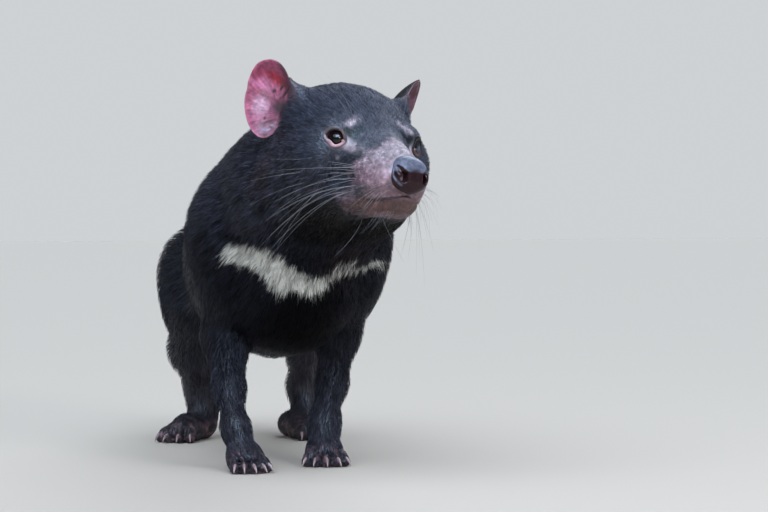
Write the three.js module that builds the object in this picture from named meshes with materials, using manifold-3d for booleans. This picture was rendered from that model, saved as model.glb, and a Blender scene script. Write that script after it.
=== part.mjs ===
// A life-size still model of an adult Tasmanian devil standing on four feet with its head turned to its left.
// Millimetres, +Z up. The animal faces -Y and its left side is +X. Every flesh solid is wrapped round a smooth
// form that reaches to the tips of the short coat, and neighbours meet face to face with a thin parting gap.
import * as THREE from "three";
import { mergeVertices } from "three/addons/utils/BufferGeometryUtils.js";
import Module from "manifold-3d";

const wasm = await Module();
wasm.setup();

// Driving dimensions
const GAP = 0.3;
const HEAD_YAW = 19;
const HEAD_ROLL = 5.4;
const EYE_RADIUS = 7.6;
const LID_THICKNESS = 1.4;
const EAR_THICKNESS = 2.4;
const TOE_RADIUS = 5.6;
const SIDES = { left: 1, right: -1 };

const radians = THREE.MathUtils.degToRad;
const at = (x, y, z) => new THREE.Vector3(x, y, z);
const both = (make) => Object.values(SIDES).map(make);
const UP = at(0, 0, 1);
const FORWARD = at(0, -1, 0);

// Forms: each is a function from a point to its signed distance from a surface, in millimetres

// A tapered limb between two balls
function limb(a, radiusA, b, radiusB) {
  const along = b.clone().sub(a);
  const length2 = along.lengthSq();
  const taper = radiusA - radiusB;
  const slope2 = length2 - taper * taper;
  return (p) => {
    const px = p.x - a.x;
    const py = p.y - a.y;
    const pz = p.z - a.z;
    const y = px * along.x + py * along.y + pz * along.z;
    const z = y - length2;
    const qx = px * length2 - along.x * y;
    const qy = py * length2 - along.y * y;
    const qz = pz * length2 - along.z * y;
    const x2 = qx * qx + qy * qy + qz * qz;
    const y2 = y * y * length2;
    const z2 = z * z * length2;
    const k = Math.sign(taper) * taper * taper * x2;
    if (Math.sign(z) * slope2 * z2 > k) return Math.sqrt(x2 + z2) / length2 - radiusB;
    if (Math.sign(y) * slope2 * y2 < k) return Math.sqrt(x2 + y2) / length2 - radiusA;
    return (Math.sqrt((x2 * slope2) / length2) + y * taper) / length2 - radiusA;
  };
}

// An egg with three half sizes, turned by yaw about Z, pitch about X and roll about Y, in degrees
function egg(centre, [rx, ry, rz], [yaw, pitch, roll] = [0, 0, 0]) {
  const turn = new THREE.Euler(radians(pitch), radians(roll), radians(yaw), "ZXY");
  const back = new THREE.Matrix4().makeRotationFromEuler(turn).invert();
  const q = at(0, 0, 0);
  return (p) => {
    q.copy(p).sub(centre).applyMatrix4(back);
    const k0 = Math.hypot(q.x / rx, q.y / ry, q.z / rz);
    const k1 = Math.hypot(q.x / (rx * rx), q.y / (ry * ry), q.z / (rz * rz));
    return k1 < 1e-9 ? -Math.min(rx, ry, rz) : (k0 * (k0 - 1)) / k1;
  };
}

// Limbs end to end through balls given as [centre, radius]
const chain = (balls) => balls.slice(1).map(([b, rb], i) => limb(balls[i][0], balls[i][1], b, rb));
const centresOf = (balls) => balls.map(([centre]) => centre);

// Several forms melted into one, with a fillet of about k where they meet
function melt(k, forms) {
  return (p) => {
    let d = forms[0](p);
    for (let i = 1; i < forms.length; i++) {
      const e = forms[i](p);
      const h = Math.max(k - Math.abs(d - e), 0) / k;
      d = Math.min(d, e) - (h * h * k) / 4;
    }
    return d;
  };
}
const shrunk = (form, depth) => (p) => form(p) + depth;

// Solids: closed meshes worked out from forms, then joined and cut
function solidOf(geometry) {
  const bare = new THREE.BufferGeometry();
  bare.setAttribute("position", geometry.getAttribute("position"));
  bare.setIndex(geometry.index);
  const merged = mergeVertices(bare, 1e-4);
  return new wasm.Manifold(
    new wasm.Mesh({
      numProp: 3,
      vertProperties: merged.attributes.position.array,
      triVerts: new Uint32Array(merged.index.array),
    }),
  );
}

// A closed geometry from rings of points, with a pole before the first ring and after the last
function ringsGeometry(firstPole, rings, lastPole) {
  const count = rings[0].length;
  const points = [firstPole, ...rings.flat(), lastPole];
  const faces = [];
  for (let j = 0; j < count; j++) {
    const k = (j + 1) % count;
    faces.push(0, 1 + k, 1 + j);
    for (let i = 0; i + 1 < rings.length; i++) {
      const a = 1 + i * count + j;
      const b = 1 + i * count + k;
      faces.push(a, b, b + count, a, b + count, a + count);
    }
    const last = 1 + (rings.length - 1) * count;
    faces.push(last + j, last + k, points.length - 1);
  }
  const positions = new Float32Array(points.flatMap((p) => [p.x, p.y, p.z]));
  const geometry = new THREE.BufferGeometry();
  geometry.setAttribute("position", new THREE.BufferAttribute(positions, 3));
  geometry.setIndex(faces);
  return geometry;
}

// Where a ray that starts inside a form first comes out of it
function reach(form, origin, direction, clearance) {
  const STEP = 4;
  const LIMIT = 200;
  const HALVINGS = 14;
  const p = at(0, 0, 0);
  const depth = (t) => form(p.copy(origin).addScaledVector(direction, t)) - clearance;
  let far = 0;
  while (depth(far) < 0 && far < LIMIT) far += STEP;
  let near = Math.max(0, far - STEP);
  for (let i = 0; i < HALVINGS; i++) {
    const middle = (near + far) / 2;
    if (depth(middle) < 0) near = middle;
    else far = middle;
  }
  return origin.clone().addScaledVector(direction, far);
}

// A skin wrapped round a form: rays leave a spine all round it, and fan out into a dome at each end
function wrap(form, spinePoints, { rows, sides, domes, upright = UP, clearance = 0 }) {
  const spine = new THREE.CatmullRomCurve3(spinePoints);
  const stations = [];
  for (let i = 0; i <= domes[0]; i++) stations.push([0, 180 - (90 * i) / (domes[0] + 0.5)]);
  for (let i = 0; i <= rows; i++) stations.push([i / rows, 90]);
  for (let i = domes[1]; i >= 0; i--) stations.push([1, (90 * i) / (domes[1] + 0.5)]);
  const rings = stations.map(([u, polar]) => {
    const origin = spine.getPointAt(u);
    const ahead = spine.getTangentAt(u);
    const side = upright.clone().cross(ahead).normalize();
    const up = ahead.clone().cross(side);
    const count = polar === 180 || polar === 0 ? 1 : sides;
    return Array.from({ length: count }, (_, j) => {
      const turn = (2 * Math.PI * j) / sides;
      const out = side.clone().multiplyScalar(Math.cos(turn)).addScaledVector(up, Math.sin(turn));
      const direction = ahead.clone().multiplyScalar(Math.cos(radians(polar)));
      direction.addScaledVector(out, Math.sin(radians(polar)));
      return reach(form, origin, direction, clearance);
    });
  });
  const [[firstPole]] = rings.splice(0, 1);
  const [[lastPole]] = rings.splice(-1, 1);
  return solidOf(ringsGeometry(firstPole, rings, lastPole));
}

const largest = (solid) => solid.decompose().reduce((a, b) => (a.volume() > b.volume() ? a : b));
function above(solid, point, facing) {
  const n = facing.clone().normalize();
  return solid.trimByPlane([n.x, n.y, n.z], n.dot(point));
}

// The two halves of a solid on either side of a plane, parted by the gap
function part(solid, point, facing) {
  const n = facing.clone().normalize();
  const front = above(solid, point.clone().addScaledVector(n, GAP / 2), n);
  const back = above(solid, point.clone().addScaledVector(n, -GAP / 2), n.clone().negate());
  return [front, back];
}

function ballSolid(centre, radius, segments) {
  const ball = new THREE.SphereGeometry(radius, segments, segments * 0.6);
  return solidOf(ball.translate(centre.x, centre.y, centre.z));
}

function rodSolid(start, direction, length, radius, segments) {
  const rod = new THREE.CylinderGeometry(radius, radius, length, segments);
  rod.translate(0, length / 2, 0);
  rod.applyQuaternion(new THREE.Quaternion().setFromUnitVectors(at(0, 1, 0), direction));
  return solidOf(rod.translate(start.x, start.y, start.z));
}

// Trunk and neck: eggs for the chest, belly and rump, and a ridge of limbs along the back
const trunkForms = [
  egg(at(0, 66, 166), [63, 106, 84]),
  egg(at(0, -26, 158), [54, 44, 72]),
  egg(at(2, 156, 161), [62, 88, 78]),
  egg(at(8, 231, 158), [54, 76, 57]),
  ...chain([
    [at(0, -22, 216), 52],
    [at(0, 66, 220), 43],
    [at(3, 160, 201), 43],
    [at(8, 246, 176), 40],
    [at(10, 293, 172), 27],
  ]),
];
const neckForms = chain([
  [at(0, 12, 207), 62],
  [at(8, -42, 218), 62],
  [at(20, -80, 235), 54],
]);

// Head, in its own frame: x to its left, y back, z up, from a point midway between the ears at eye level
const headFrame = new THREE.Matrix4()
  .makeRotationZ(radians(HEAD_YAW))
  .multiply(new THREE.Matrix4().makeRotationY(radians(HEAD_ROLL)))
  .setPosition(22, -80, 258.5);
const toHead = headFrame.clone().invert();
const headPoint = (x, y, z) => at(x, y, z).applyMatrix4(headFrame);
const headDirection = (x, y, z) => at(x, y, z).transformDirection(headFrame);
function inHead(form) {
  const q = at(0, 0, 0);
  return (p) => form(q.copy(p).applyMatrix4(toHead));
}
const headForm = inHead(
  melt(9, [
    egg(at(0, -6, 5), [50, 52, 39]),
    egg(at(0, -34, -3), [41, 37, 28], [0, 20, 0]),
    ...both((s) => egg(at(s * 36, -20, -17), [23, 37, 33], [s * 14, 0, 0])),
    ...both((s) => egg(at(s * 33, -4, -40), [25, 37, 29])),
    ...both((s) => egg(at(s * 44, -7, 17), [13, 17, 20])),
    ...both((s) => egg(at(s * 29, -44, 6), [12, 14, 9], [s * 25, 0, 0])),
    ...both((s) => limb(at(s * 13, -57, -18), 23, at(s * 8, -92, -27), 14.5)),
    ...both((s) => egg(at(s * 14, -84, -33), [13, 20, 13], [s * 12, 0, 0])),
    ...both((s) => limb(at(s * 26, -28, -48), 19, at(s * 9, -82, -45), 13)),
    limb(at(0, -50, 0), 17, at(0, -94, -16), 8.5),
    egg(at(0, -92, -37), [14, 12, 10]),
    egg(at(0, -84, -47), [14, 14, 10]),
  ]),
);

// Legs: balls down each limb, the joints that part it into pieces, and the muscle over its top
const legs = [
  {
    pieces: ["upper_arm_right", "forearm_right", "forepaw_right"],
    joints: [0, 2, 4],
    balls: [
      [at(-42, 10, 188), 36],
      [at(-46, 2, 148), 28],
      [at(-48, 16, 104), 20],
      [at(-49, -4, 64), 14.5],
      [at(-46, -28, 32), 13],
      [at(-43, -40, 14), 12],
    ],
    muscle: egg(at(-46, 5, 185), [34, 44, 50], [0, 8, 4]),
    paw: { centre: at(-43, -42, 0), heading: 8, toes: 5, fan: 34, stride: 13, palm: 15, heel: 7 },
  },
  {
    pieces: ["upper_arm_left", "forearm_left", "forepaw_left"],
    joints: [0, 2, 4],
    balls: [
      [at(42, 14, 188), 36],
      [at(47, 8, 148), 28],
      [at(43, 32, 104), 20.5],
      [at(35, 22, 64), 14.5],
      [at(31, 10, 32), 13.5],
      [at(28, -2, 14), 12],
    ],
    muscle: egg(at(48, 9, 186), [35, 44, 52], [0, 8, -4]),
    paw: { centre: at(27, -4, 0), heading: -6, toes: 5, fan: 42, stride: 13, palm: 16, heel: 7 },
  },
  {
    pieces: ["thigh_right", "shank_right", "hindfoot_right"],
    joints: [0, 1, 3],
    balls: [
      [at(-33, 250, 152), 33],
      [at(-41, 214, 118), 26],
      [at(-33, 251, 80), 18],
      [at(-24, 277, 44), 13],
      [at(-30, 263, 14), 12],
    ],
    muscle: egg(at(-35, 236, 137), [31, 49, 43], [0, 15, 0]),
    paw: { centre: at(-48, 237, 0), heading: -33, toes: 4, fan: 26, stride: 16, palm: 14, heel: 36 },
  },
  {
    pieces: ["thigh_left", "shank_left", "hindfoot_left"],
    joints: [0, 1, 3],
    balls: [
      [at(48, 250, 152), 33],
      [at(60, 212, 118), 26],
      [at(65, 249, 80), 18.5],
      [at(67, 275, 44), 13.5],
      [at(66, 257, 14), 12],
    ],
    muscle: egg(at(52, 234, 137), [31, 49, 43], [0, 15, 0]),
    paw: { centre: at(64, 235, 0), heading: 14, toes: 4, fan: 26, stride: 16, palm: 14, heel: 36 },
  },
];

// The trunk swells towards each limb, a little under the limb's own surface
const bodyForm = melt(24, [...trunkForms, ...neckForms, ...legs.map(({ muscle }) => shrunk(muscle, 2))]);
const trunkSolid = (clearance = 0) =>
  wrap(
    melt(18, [bodyForm, headForm]),
    [at(8, 250, 166), at(2, 130, 172), at(0, 20, 182), at(6, -40, 204), at(20, -76, 230)],
    { rows: 22, sides: 28, domes: [4, 1], clearance },
  );
const headSolid = (clearance = 0) =>
  wrap(
    melt(18, [headForm, ...neckForms]),
    [headPoint(0, 34, -20), headPoint(0, 0, -18), headPoint(0, -50, -24), headPoint(0, -86, -34)],
    { rows: 18, sides: 34, domes: [1, 4], clearance },
  );
const NECK_BASE = at(8, -46, 208);
const NECK_BASE_FACING = at(0.12, -0.85, 0.53);
const NECK_TOP = headPoint(0, 18, -20);
const NECK_TOP_FACING = headDirection(0, -1, 0.2);

// The pieces of a leg, each wrapped round its own stretch of bone and cut square at the joints
const PIECE_ROWS = [7, 6, 3];
function legPieces({ balls, muscle, joints }, clearance = 0) {
  const form = melt(12, [...chain(balls), muscle]);
  const centres = centresOf(balls);
  const ends = [...joints.slice(1), balls.length - 1];
  return joints.map((start, i) => {
    const stretch = centres.slice(start, ends[i] + 1);
    let piece = wrap(form, stretch, { rows: PIECE_ROWS[i], sides: 14, domes: [3, 3], upright: FORWARD, clearance });
    for (const joint of joints.slice(1)) {
      const [below, over] = part(piece, centres[joint], centres[joint + 1].clone().sub(centres[joint - 1]));
      piece = joint > start ? over : below;
    }
    return piece;
  });
}

// A paw: a palm, toes in a fan and a hooked claw on each
function pawSolid({ centre, heading, toes, fan, stride, palm, heel }) {
  const frame = new THREE.Matrix4().makeRotationZ(radians(heading)).setPosition(centre);
  const to = (x, y, z) => at(x, y, z).applyMatrix4(frame);
  const pad = [
    [to(0, heel, 11), 12],
    [to(0, heel * 0.3, 10.5), 12],
    [to(0, -6, 9), 10.5],
  ];
  const knuckles = both((s) => limb(to(0, heel * 0.3, 8), 8.5, to(s * (palm - 8), -7, 7), 8));
  const solids = [wrap(melt(8, [...chain(pad), ...knuckles]), centresOf(pad), { rows: 3, sides: 10, domes: [1, 1] })];
  for (let i = 0; i < toes; i++) {
    const share = (2 * i) / (toes - 1) - 1;
    const turn = radians(fan * share);
    const length = 1 - 0.22 * share * share;
    const along = (distance, z) =>
      to(share * (palm - 6) + Math.sin(turn) * distance * length, -4 - Math.cos(turn) * distance * length, z);
    const toe = [
      [along(0, 9), TOE_RADIUS * 1.1],
      [along(stride * 0.55, 8.6), TOE_RADIUS],
      [along(stride, TOE_RADIUS * 0.75), TOE_RADIUS * 0.9],
    ];
    const claw = [
      [along(stride + 2, 6.2), 2.7],
      [along(stride + 7, 5.8), 2.2],
      [along(stride + 12, 2), 0.8],
    ];
    solids.push(wrap(melt(3, chain(toe)), centresOf(toe), { rows: 2, sides: 7, domes: [0, 1] }));
    solids.push(wrap(melt(1, chain(claw)), centresOf(claw), { rows: 2, sides: 5, domes: [0, 0] }));
  }
  return solids.reduce((a, b) => a.add(b));
}

// Tail
const tailBalls = [
  [at(8, 275, 174), 32],
  [at(9, 317, 172), 27],
  [at(10, 359, 154), 22],
  [at(11, 385, 120), 17.5],
  [at(12, 393, 84), 12.5],
  [at(13, 390, 54), 7],
];
const tailSolid = () =>
  wrap(melt(14, chain(tailBalls)), centresOf(tailBalls), {
    rows: 12,
    sides: 14,
    domes: [2, 3],
    upright: at(1, 0, 0),
  });

// Eyes, and lids that are thick balls opened by an almond where two cylinders cross
const EYE_SEAT = { x: 31.5, y: -50, z: -2.5, aside: 43, raise: 8 };
const ALMOND = { width: 13, height: 10 };
const eyeCentre = (s) => headPoint(s * EYE_SEAT.x, EYE_SEAT.y, EYE_SEAT.z);
function almondSolid(s) {
  const half = ALMOND.height / 2;
  const radius = (ALMOND.width ** 2 / 4 + half ** 2) / (2 * half);
  const ahead = at(0, 0, 1).setFromSphericalCoords(1, radians(90 - EYE_SEAT.raise), radians(s * EYE_SEAT.aside));
  const facing = headDirection(ahead.x, -ahead.z, ahead.y);
  const up = headDirection(0, 0, 1);
  up.addScaledVector(facing, -up.dot(facing)).normalize();
  const [low, high] = [radius - half, half - radius].map((offset) =>
    rodSolid(eyeCentre(s).addScaledVector(up, offset), facing, 24, radius, 40),
  );
  return low.intersect(high);
}

// Nose pad, with two nostrils that curl out to the sides
const noseForm = inHead(
  melt(4, [
    egg(at(0, -105, -22), [12, 9, 9]),
    egg(at(0, -108, -33), [8, 7.5, 9]),
    ...both((s) => egg(at(s * 8, -107, -28), [7.5, 8, 10])),
  ]),
);
const nosePad = (clearance = 0) =>
  wrap(noseForm, [headPoint(0, -101, -28), headPoint(0, -110, -29)], {
    rows: 3,
    sides: 20,
    domes: [2, 3],
    clearance,
  });
const nostrils = both((s) => [
  [headPoint(s * 9.5, -119, -29), 4, headPoint(s * 7, -106, -28), 3],
  [headPoint(s * 11, -115, -28), 2.2, headPoint(s * 18, -106, -25), 1.4],
]).flat();
const pegSolid = ([a, radiusA, b, radiusB]) =>
  wrap(limb(a, radiusA, b, radiusB), [a, b], { rows: 1, sides: 8, domes: [1, 1], upright: at(0.3, 0.2, 1) });

// Mouth: a thin ribbon that follows the lips from corner to corner
function mouthSlit() {
  const cheek = (s) => [at(s * 38, -58, -43), at(s * 28, -80, -43), at(s * 15, -97, -44)];
  const lips = new THREE.CatmullRomCurve3([...cheek(-1), at(0, -104, -45), ...cheek(1).toReversed()]);
  const STEPS = 24;
  const HALF_HEIGHT = 0.5;
  const points = lips.getSpacedPoints(STEPS);
  const middle = at(0, -52, -45);
  const rings = points.map((p) => {
    const inward = middle.clone().sub(p).normalize();
    return [
      p.clone().addScaledVector(inward, 8),
      p.clone().add(at(0, 0, HALF_HEIGHT)),
      p.clone().addScaledVector(inward, -9),
      p.clone().add(at(0, 0, -HALF_HEIGHT)),
    ];
  });
  const [right, left] = [points[0], points[STEPS]].map((p) => p.clone().add(at(Math.sign(p.x) * 0.4, 0.4, 0)));
  return solidOf(ringsGeometry(right, rings, left).applyMatrix4(headFrame));
}

// Ears: an oval rim, and a cup that sinks from it to the canal
const EAR = { x: 62.5, y: 6, z: 26, halfWidth: 18, halfHeight: 31, turn: 45, depth: 14, sides: 20, rings: 4 };
function earShell(s, offset) {
  const middle = at(EAR.x, EAR.y, EAR.z);
  const across = at(Math.cos(radians(EAR.turn)), Math.sin(radians(EAR.turn)), 0);
  const rise = at(0.17, -0.3, 0.94);
  const behind = at(-Math.sin(radians(EAR.turn)), Math.cos(radians(EAR.turn)), 0.1);
  const from = (point, a, r, b) =>
    point.clone().addScaledVector(across, a).addScaledVector(rise, r).addScaledVector(behind, b);
  const canal = from(middle, -EAR.halfWidth * 0.45, -EAR.halfHeight * 0.35, EAR.depth * 0.75);
  const focus = from(middle, 0, 0, -25);
  const placed = (p) => headPoint(s * p.x, p.y, p.z);
  const shape = (turn, along) => {
    const rim = from(middle, EAR.halfWidth * Math.cos(turn), EAR.halfHeight * Math.sin(turn), 0);
    const control = from(canal.clone().lerp(rim, 0.62), 0, 0, EAR.depth * 0.85);
    const p = canal.clone().multiplyScalar((1 - along) ** 2);
    p.addScaledVector(control, 2 * along * (1 - along)).addScaledVector(rim, along ** 2);
    return placed(p.addScaledVector(p.clone().sub(focus).normalize(), offset));
  };
  const rings = Array.from({ length: EAR.rings }, (_, i) =>
    Array.from({ length: EAR.sides }, (_, j) => shape((-s * 2 * Math.PI * j) / EAR.sides, (i + 1) / EAR.rings)),
  );
  return { canal: shape(0, 0), rings, mouth: placed(from(middle, 0, 0, -6)) };
}
function earSolid(s) {
  const inner = earShell(s, 0);
  const outer = earShell(s, EAR_THICKNESS);
  return solidOf(ringsGeometry(inner.canal, [...inner.rings, ...outer.rings.toReversed()], outer.canal));
}
function earHollow(s) {
  const { canal, rings, mouth } = earShell(s, 0);
  return solidOf(ringsGeometry(canal, rings, mouth));
}

// Materials
const finish = (color, roughness) => new THREE.MeshStandardMaterial({ color, roughness, metalness: 0 });
const coat = finish(0x17171b, 0.75);
const earSkin = finish(0xb2606c, 0.6);
const noseSkin = finish(0x2a2024, 0.35);
const pawSkin = finish(0x4a3238, 0.6);
const eyeball = finish(0x0c0808, 0.08);

// Assembly
const group = new THREE.Group();
function place(name, solid, material, pivot) {
  const { vertProperties, triVerts } = largest(solid).getMesh();
  const geometry = new THREE.BufferGeometry();
  geometry.setAttribute("position", new THREE.BufferAttribute(vertProperties, 3));
  geometry.setIndex(new THREE.BufferAttribute(triVerts, 1));
  geometry.translate(-pivot.x, -pivot.y, -pivot.z);
  geometry.computeVertexNormals();
  const mesh = new THREE.Mesh(geometry, material);
  mesh.name = name;
  mesh.position.copy(pivot);
  group.add(mesh);
}

const trunkRoom = trunkSolid(GAP);
let [neck, torso] = part(trunkSolid(), NECK_BASE, NECK_BASE_FACING);
torso = part(torso, NECK_TOP, NECK_TOP_FACING)[1];
neck = part(neck, NECK_TOP, NECK_TOP_FACING)[1];
for (const leg of legs) {
  const pieces = legPieces(leg);
  for (const room of legPieces(leg, GAP)) {
    torso = torso.subtract(room);
    neck = neck.subtract(room);
  }
  const centres = centresOf(leg.balls);
  const wrist = leg.joints[2];
  const wristFacing = centres[wrist + 1].clone().sub(centres[wrist - 1]);
  const paw = part(pawSolid(leg.paw), centres[wrist], wristFacing)[0];
  pieces[2] = above(pieces[2].add(paw), leg.paw.centre, UP);
  leg.pieces.forEach((name, i) => place(name, pieces[i], i === 2 ? pawSkin : coat, centres[leg.joints[i]]));
}
place("torso", torso, coat, at(0, 66, 180));
place("neck", neck, coat, NECK_BASE);
place("tail", tailSolid().subtract(trunkRoom), coat, tailBalls[0][0]);

// The ears are cut back to the head and neck, and each cup carries on into the head as a hollow
const slot = NECK_TOP_FACING.clone().multiplyScalar(GAP);
const headRoom = above(headSolid(GAP), NECK_TOP.clone().sub(slot), NECK_TOP_FACING);
const neckRoom = above(trunkRoom, NECK_TOP.clone().add(slot), NECK_TOP_FACING.clone().negate());
let head = part(headSolid(), NECK_TOP, NECK_TOP_FACING)[0];
for (const [side, s] of Object.entries(SIDES)) {
  const ear = earSolid(s).subtract(headRoom).subtract(neckRoom);
  head = head.add(ballSolid(eyeCentre(s), EYE_RADIUS + LID_THICKNESS, 20));
  head = head.subtract(ballSolid(eyeCentre(s), EYE_RADIUS + GAP, 20)).subtract(almondSolid(s)).subtract(earHollow(s));
  place(`ear_${side}`, ear, earSkin, headPoint(s * EAR.x, EAR.y, EAR.z));
  place(`eye_${side}`, ballSolid(eyeCentre(s), EYE_RADIUS, 16), eyeball, eyeCentre(s));
}
head = head.subtract(nosePad(GAP)).subtract(mouthSlit());
const nose = nostrils.reduce((solid, nostril) => solid.subtract(pegSolid(nostril)), nosePad());
place("nose", nose, noseSkin, headPoint(0, -105, -28));
place("head", head, coat, headPoint(0, 0, 0));

// The part's origin is the middle of its box on the floor
const box = new THREE.Box3().setFromObject(group);
const middle = box.getCenter(at(0, 0, 0));
for (const mesh of group.children) mesh.position.sub(at(middle.x, middle.y, box.min.z));

export default group;
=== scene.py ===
# A life-size still model of a Tasmanian devil: bare skin, coat, eyes, nose, ears, claws and whiskers, set
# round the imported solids. Shapes are worked out in millimetres in the animal's own frame (it faces -Y, its
# left is +X) and put into the part's frame, in metres, when a mesh is made.
import math

import bpy
import numpy as np
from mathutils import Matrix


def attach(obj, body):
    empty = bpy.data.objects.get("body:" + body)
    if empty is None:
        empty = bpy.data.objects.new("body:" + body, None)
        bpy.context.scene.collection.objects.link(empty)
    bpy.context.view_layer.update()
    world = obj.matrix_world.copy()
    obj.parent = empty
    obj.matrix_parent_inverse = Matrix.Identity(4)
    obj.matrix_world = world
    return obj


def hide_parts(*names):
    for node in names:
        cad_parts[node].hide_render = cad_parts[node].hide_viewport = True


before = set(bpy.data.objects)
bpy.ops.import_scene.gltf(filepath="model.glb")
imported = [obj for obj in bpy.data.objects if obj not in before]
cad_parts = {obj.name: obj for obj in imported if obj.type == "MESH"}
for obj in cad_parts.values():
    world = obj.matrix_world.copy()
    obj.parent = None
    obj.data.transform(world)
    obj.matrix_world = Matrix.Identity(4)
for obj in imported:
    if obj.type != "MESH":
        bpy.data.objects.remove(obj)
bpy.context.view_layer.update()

# Camera
# The photograph was taken from the animal's front right, a little above its chest, with a long lens. The
# camera looks past the animal's left, so that it stands left of the middle.
CAMERA_AZIMUTH = -11.5
CAMERA_DISTANCE = 2300.0
CAMERA_HEIGHT = 225.0
FOCAL_PIXELS = 2875.0
PICTURE_WIDTH = 768
SHOULDER_PIXEL = 290
SENSOR_WIDTH = 36
# The camera tilts down to look at this height on the animal
AIM_HEIGHT = 168.0
# The part's origin in the animal's frame
SHIFT_TO_PART = np.array([6.255, 108.394, 0.0])


def in_part(points):
    """Millimetres in the animal's frame to metres in the part's frame."""
    return (np.asarray(points) - SHIFT_TO_PART) / 1000


azimuth = math.radians(CAMERA_AZIMUTH)
turn = azimuth - math.atan((PICTURE_WIDTH / 2 - SHOULDER_PIXEL) / FOCAL_PIXELS)
pitch = math.atan((CAMERA_HEIGHT - AIM_HEIGHT) / CAMERA_DISTANCE)
camera_data = bpy.data.cameras.new("camera")
camera_data.sensor_width = SENSOR_WIDTH
camera_data.lens = SENSOR_WIDTH * FOCAL_PIXELS / PICTURE_WIDTH
camera_data.clip_end = 60
camera = bpy.data.objects.new("camera", camera_data)
bpy.context.scene.collection.objects.link(camera)
camera.location = in_part([
    math.sin(azimuth) * CAMERA_DISTANCE,
    -math.cos(azimuth) * CAMERA_DISTANCE,
    CAMERA_HEIGHT,
])
camera.rotation_euler = (math.radians(90) - pitch, 0, turn)
bpy.context.scene.camera = camera

# Skin
# One bare hide covers the whole animal under its coat. It follows the muscles and bones, from the lips to the
# tip of the tail and down to the toe pads, and lies inside the tips of the hair by the coat's depth.
HEAD_CENTRE = np.array([22.0, -80.0, 258.5])
HEAD_YAW = math.radians(19)
HEAD_ROLL = math.radians(5.4)
TOE_RADIUS = 5.6


def turned(yaw, pitch, roll):
    """The rotation Rz(yaw) Rx(pitch) Ry(roll), angles in radians."""
    cz, sz = math.cos(yaw), math.sin(yaw)
    cx, sx = math.cos(pitch), math.sin(pitch)
    cy, sy = math.cos(roll), math.sin(roll)
    about_z = np.array([[cz, -sz, 0], [sz, cz, 0], [0, 0, 1]])
    about_x = np.array([[1, 0, 0], [0, cx, -sx], [0, sx, cx]])
    about_y = np.array([[cy, 0, sy], [0, 1, 0], [-sy, 0, cy]])
    return about_z @ about_x @ about_y


def unit(v):
    """Each direction over its own length."""
    return v / (np.linalg.norm(v, axis=-1, keepdims=True) + 1e-9)


HEAD_TURN = turned(HEAD_YAW, 0, HEAD_ROLL)


def from_head(points):
    """Head's own frame (x left, y back, z up) to the animal's."""
    return np.asarray(points) @ HEAD_TURN.T + HEAD_CENTRE


def to_head(points):
    """The animal's frame to the head's own."""
    return (np.asarray(points) - HEAD_CENTRE) @ HEAD_TURN


def limb(a, radius_a, b, radius_b):
    """A form: the distance to a tapered limb between two balls. Beside the limb it is the distance to the
    cone that touches both balls, and past each end the distance to that end's ball."""
    a, b = np.array(a, np.float32), np.array(b, np.float32)
    along = b - a
    length2 = float(along @ along)
    taper = radius_a - radius_b
    slope2 = length2 - taper * taper

    def distance(p):
        q = p - a
        y = q @ along
        z = y - length2
        x2 = length2 * (length2 * (q * q).sum(-1) - y * y)
        x2 = np.maximum(x2, 0)
        y2 = y * y * length2
        z2 = z * z * length2
        k = math.copysign(1, taper) * taper * taper * x2
        beside = (np.sqrt(x2 * slope2 / length2) + y * taper) / length2 - radius_a
        before = np.sqrt(x2 + y2) / length2 - radius_a
        after = np.sqrt(x2 + z2) / length2 - radius_b
        start = np.where(np.sign(y) * slope2 * y2 < k, before, beside)
        return np.where(np.sign(z) * slope2 * z2 > k, after, start)

    return distance, (a + b) / 2, math.sqrt(length2) / 2 + max(radius_a, radius_b)


def egg(centre, sizes, yaw=0, pitch=0, roll=0):
    """A form: nearly the distance to an egg with three half sizes, turned by angles in degrees."""
    centre = np.array(centre, np.float32)
    sizes = np.array(sizes, np.float32)
    turn = turned(*np.radians([yaw, pitch, roll])).astype(np.float32)

    def distance(p):
        q = (p - centre) @ turn
        k0 = np.sqrt(((q / sizes) ** 2).sum(-1))
        k1 = np.sqrt(((q / sizes**2) ** 2).sum(-1)) + 1e-6
        return k0 * (k0 - 1) / k1

    return distance, centre, float(max(sizes))


def melted(d, e, k):
    """The lesser of two distances, lowered by (k - difference) squared over 4 k where they are within k."""
    h = np.maximum(k - np.abs(d - e), 0)
    return np.minimum(d, e) - h * h / (4 * k)


def carved(d, hole, k):
    """The distance to a form less a hole, with an edge rounded over k: the
    form's outside melted with the hole."""
    return -melted(-d, hole, k)


def melt(k, forms):
    """A form: several forms melted into one over a distance k. Forms too
    far from the points are passed over."""
    centre = np.mean([f[1] for f in forms], 0)
    reach = max(float(np.linalg.norm(f[1] - centre)) + f[2] for f in forms)

    def distance(p):
        low, high = p.reshape(-1, 3).min(0), p.reshape(-1, 3).max(0)
        d = np.full(p.shape[:-1], 400, np.float32)
        for form, middle, size in forms:
            gap = np.maximum(np.maximum(low - middle, middle - high), 0)
            if np.linalg.norm(gap) - size > k + 10:
                continue
            d = melted(d, form(p), k)
        return d

    return distance, centre, reach


def in_head(form):
    """A form given in the head's frame, in the animal's frame."""
    distance, centre, reach = form
    turn = HEAD_TURN.astype(np.float32)
    shift = HEAD_CENTRE.astype(np.float32)
    return (lambda p: distance((p - shift) @ turn)), from_head(centre), reach


def shrunk(form, depth):
    """A form whose surface lies a depth further in."""
    distance, centre, reach = form
    return (lambda p: distance(p) + depth), centre, reach


def chain(balls):
    """Limbs end to end through balls given as [centre, radius]."""
    return [limb(*balls[i], *balls[i + 1]) for i in range(len(balls) - 1)]


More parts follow.
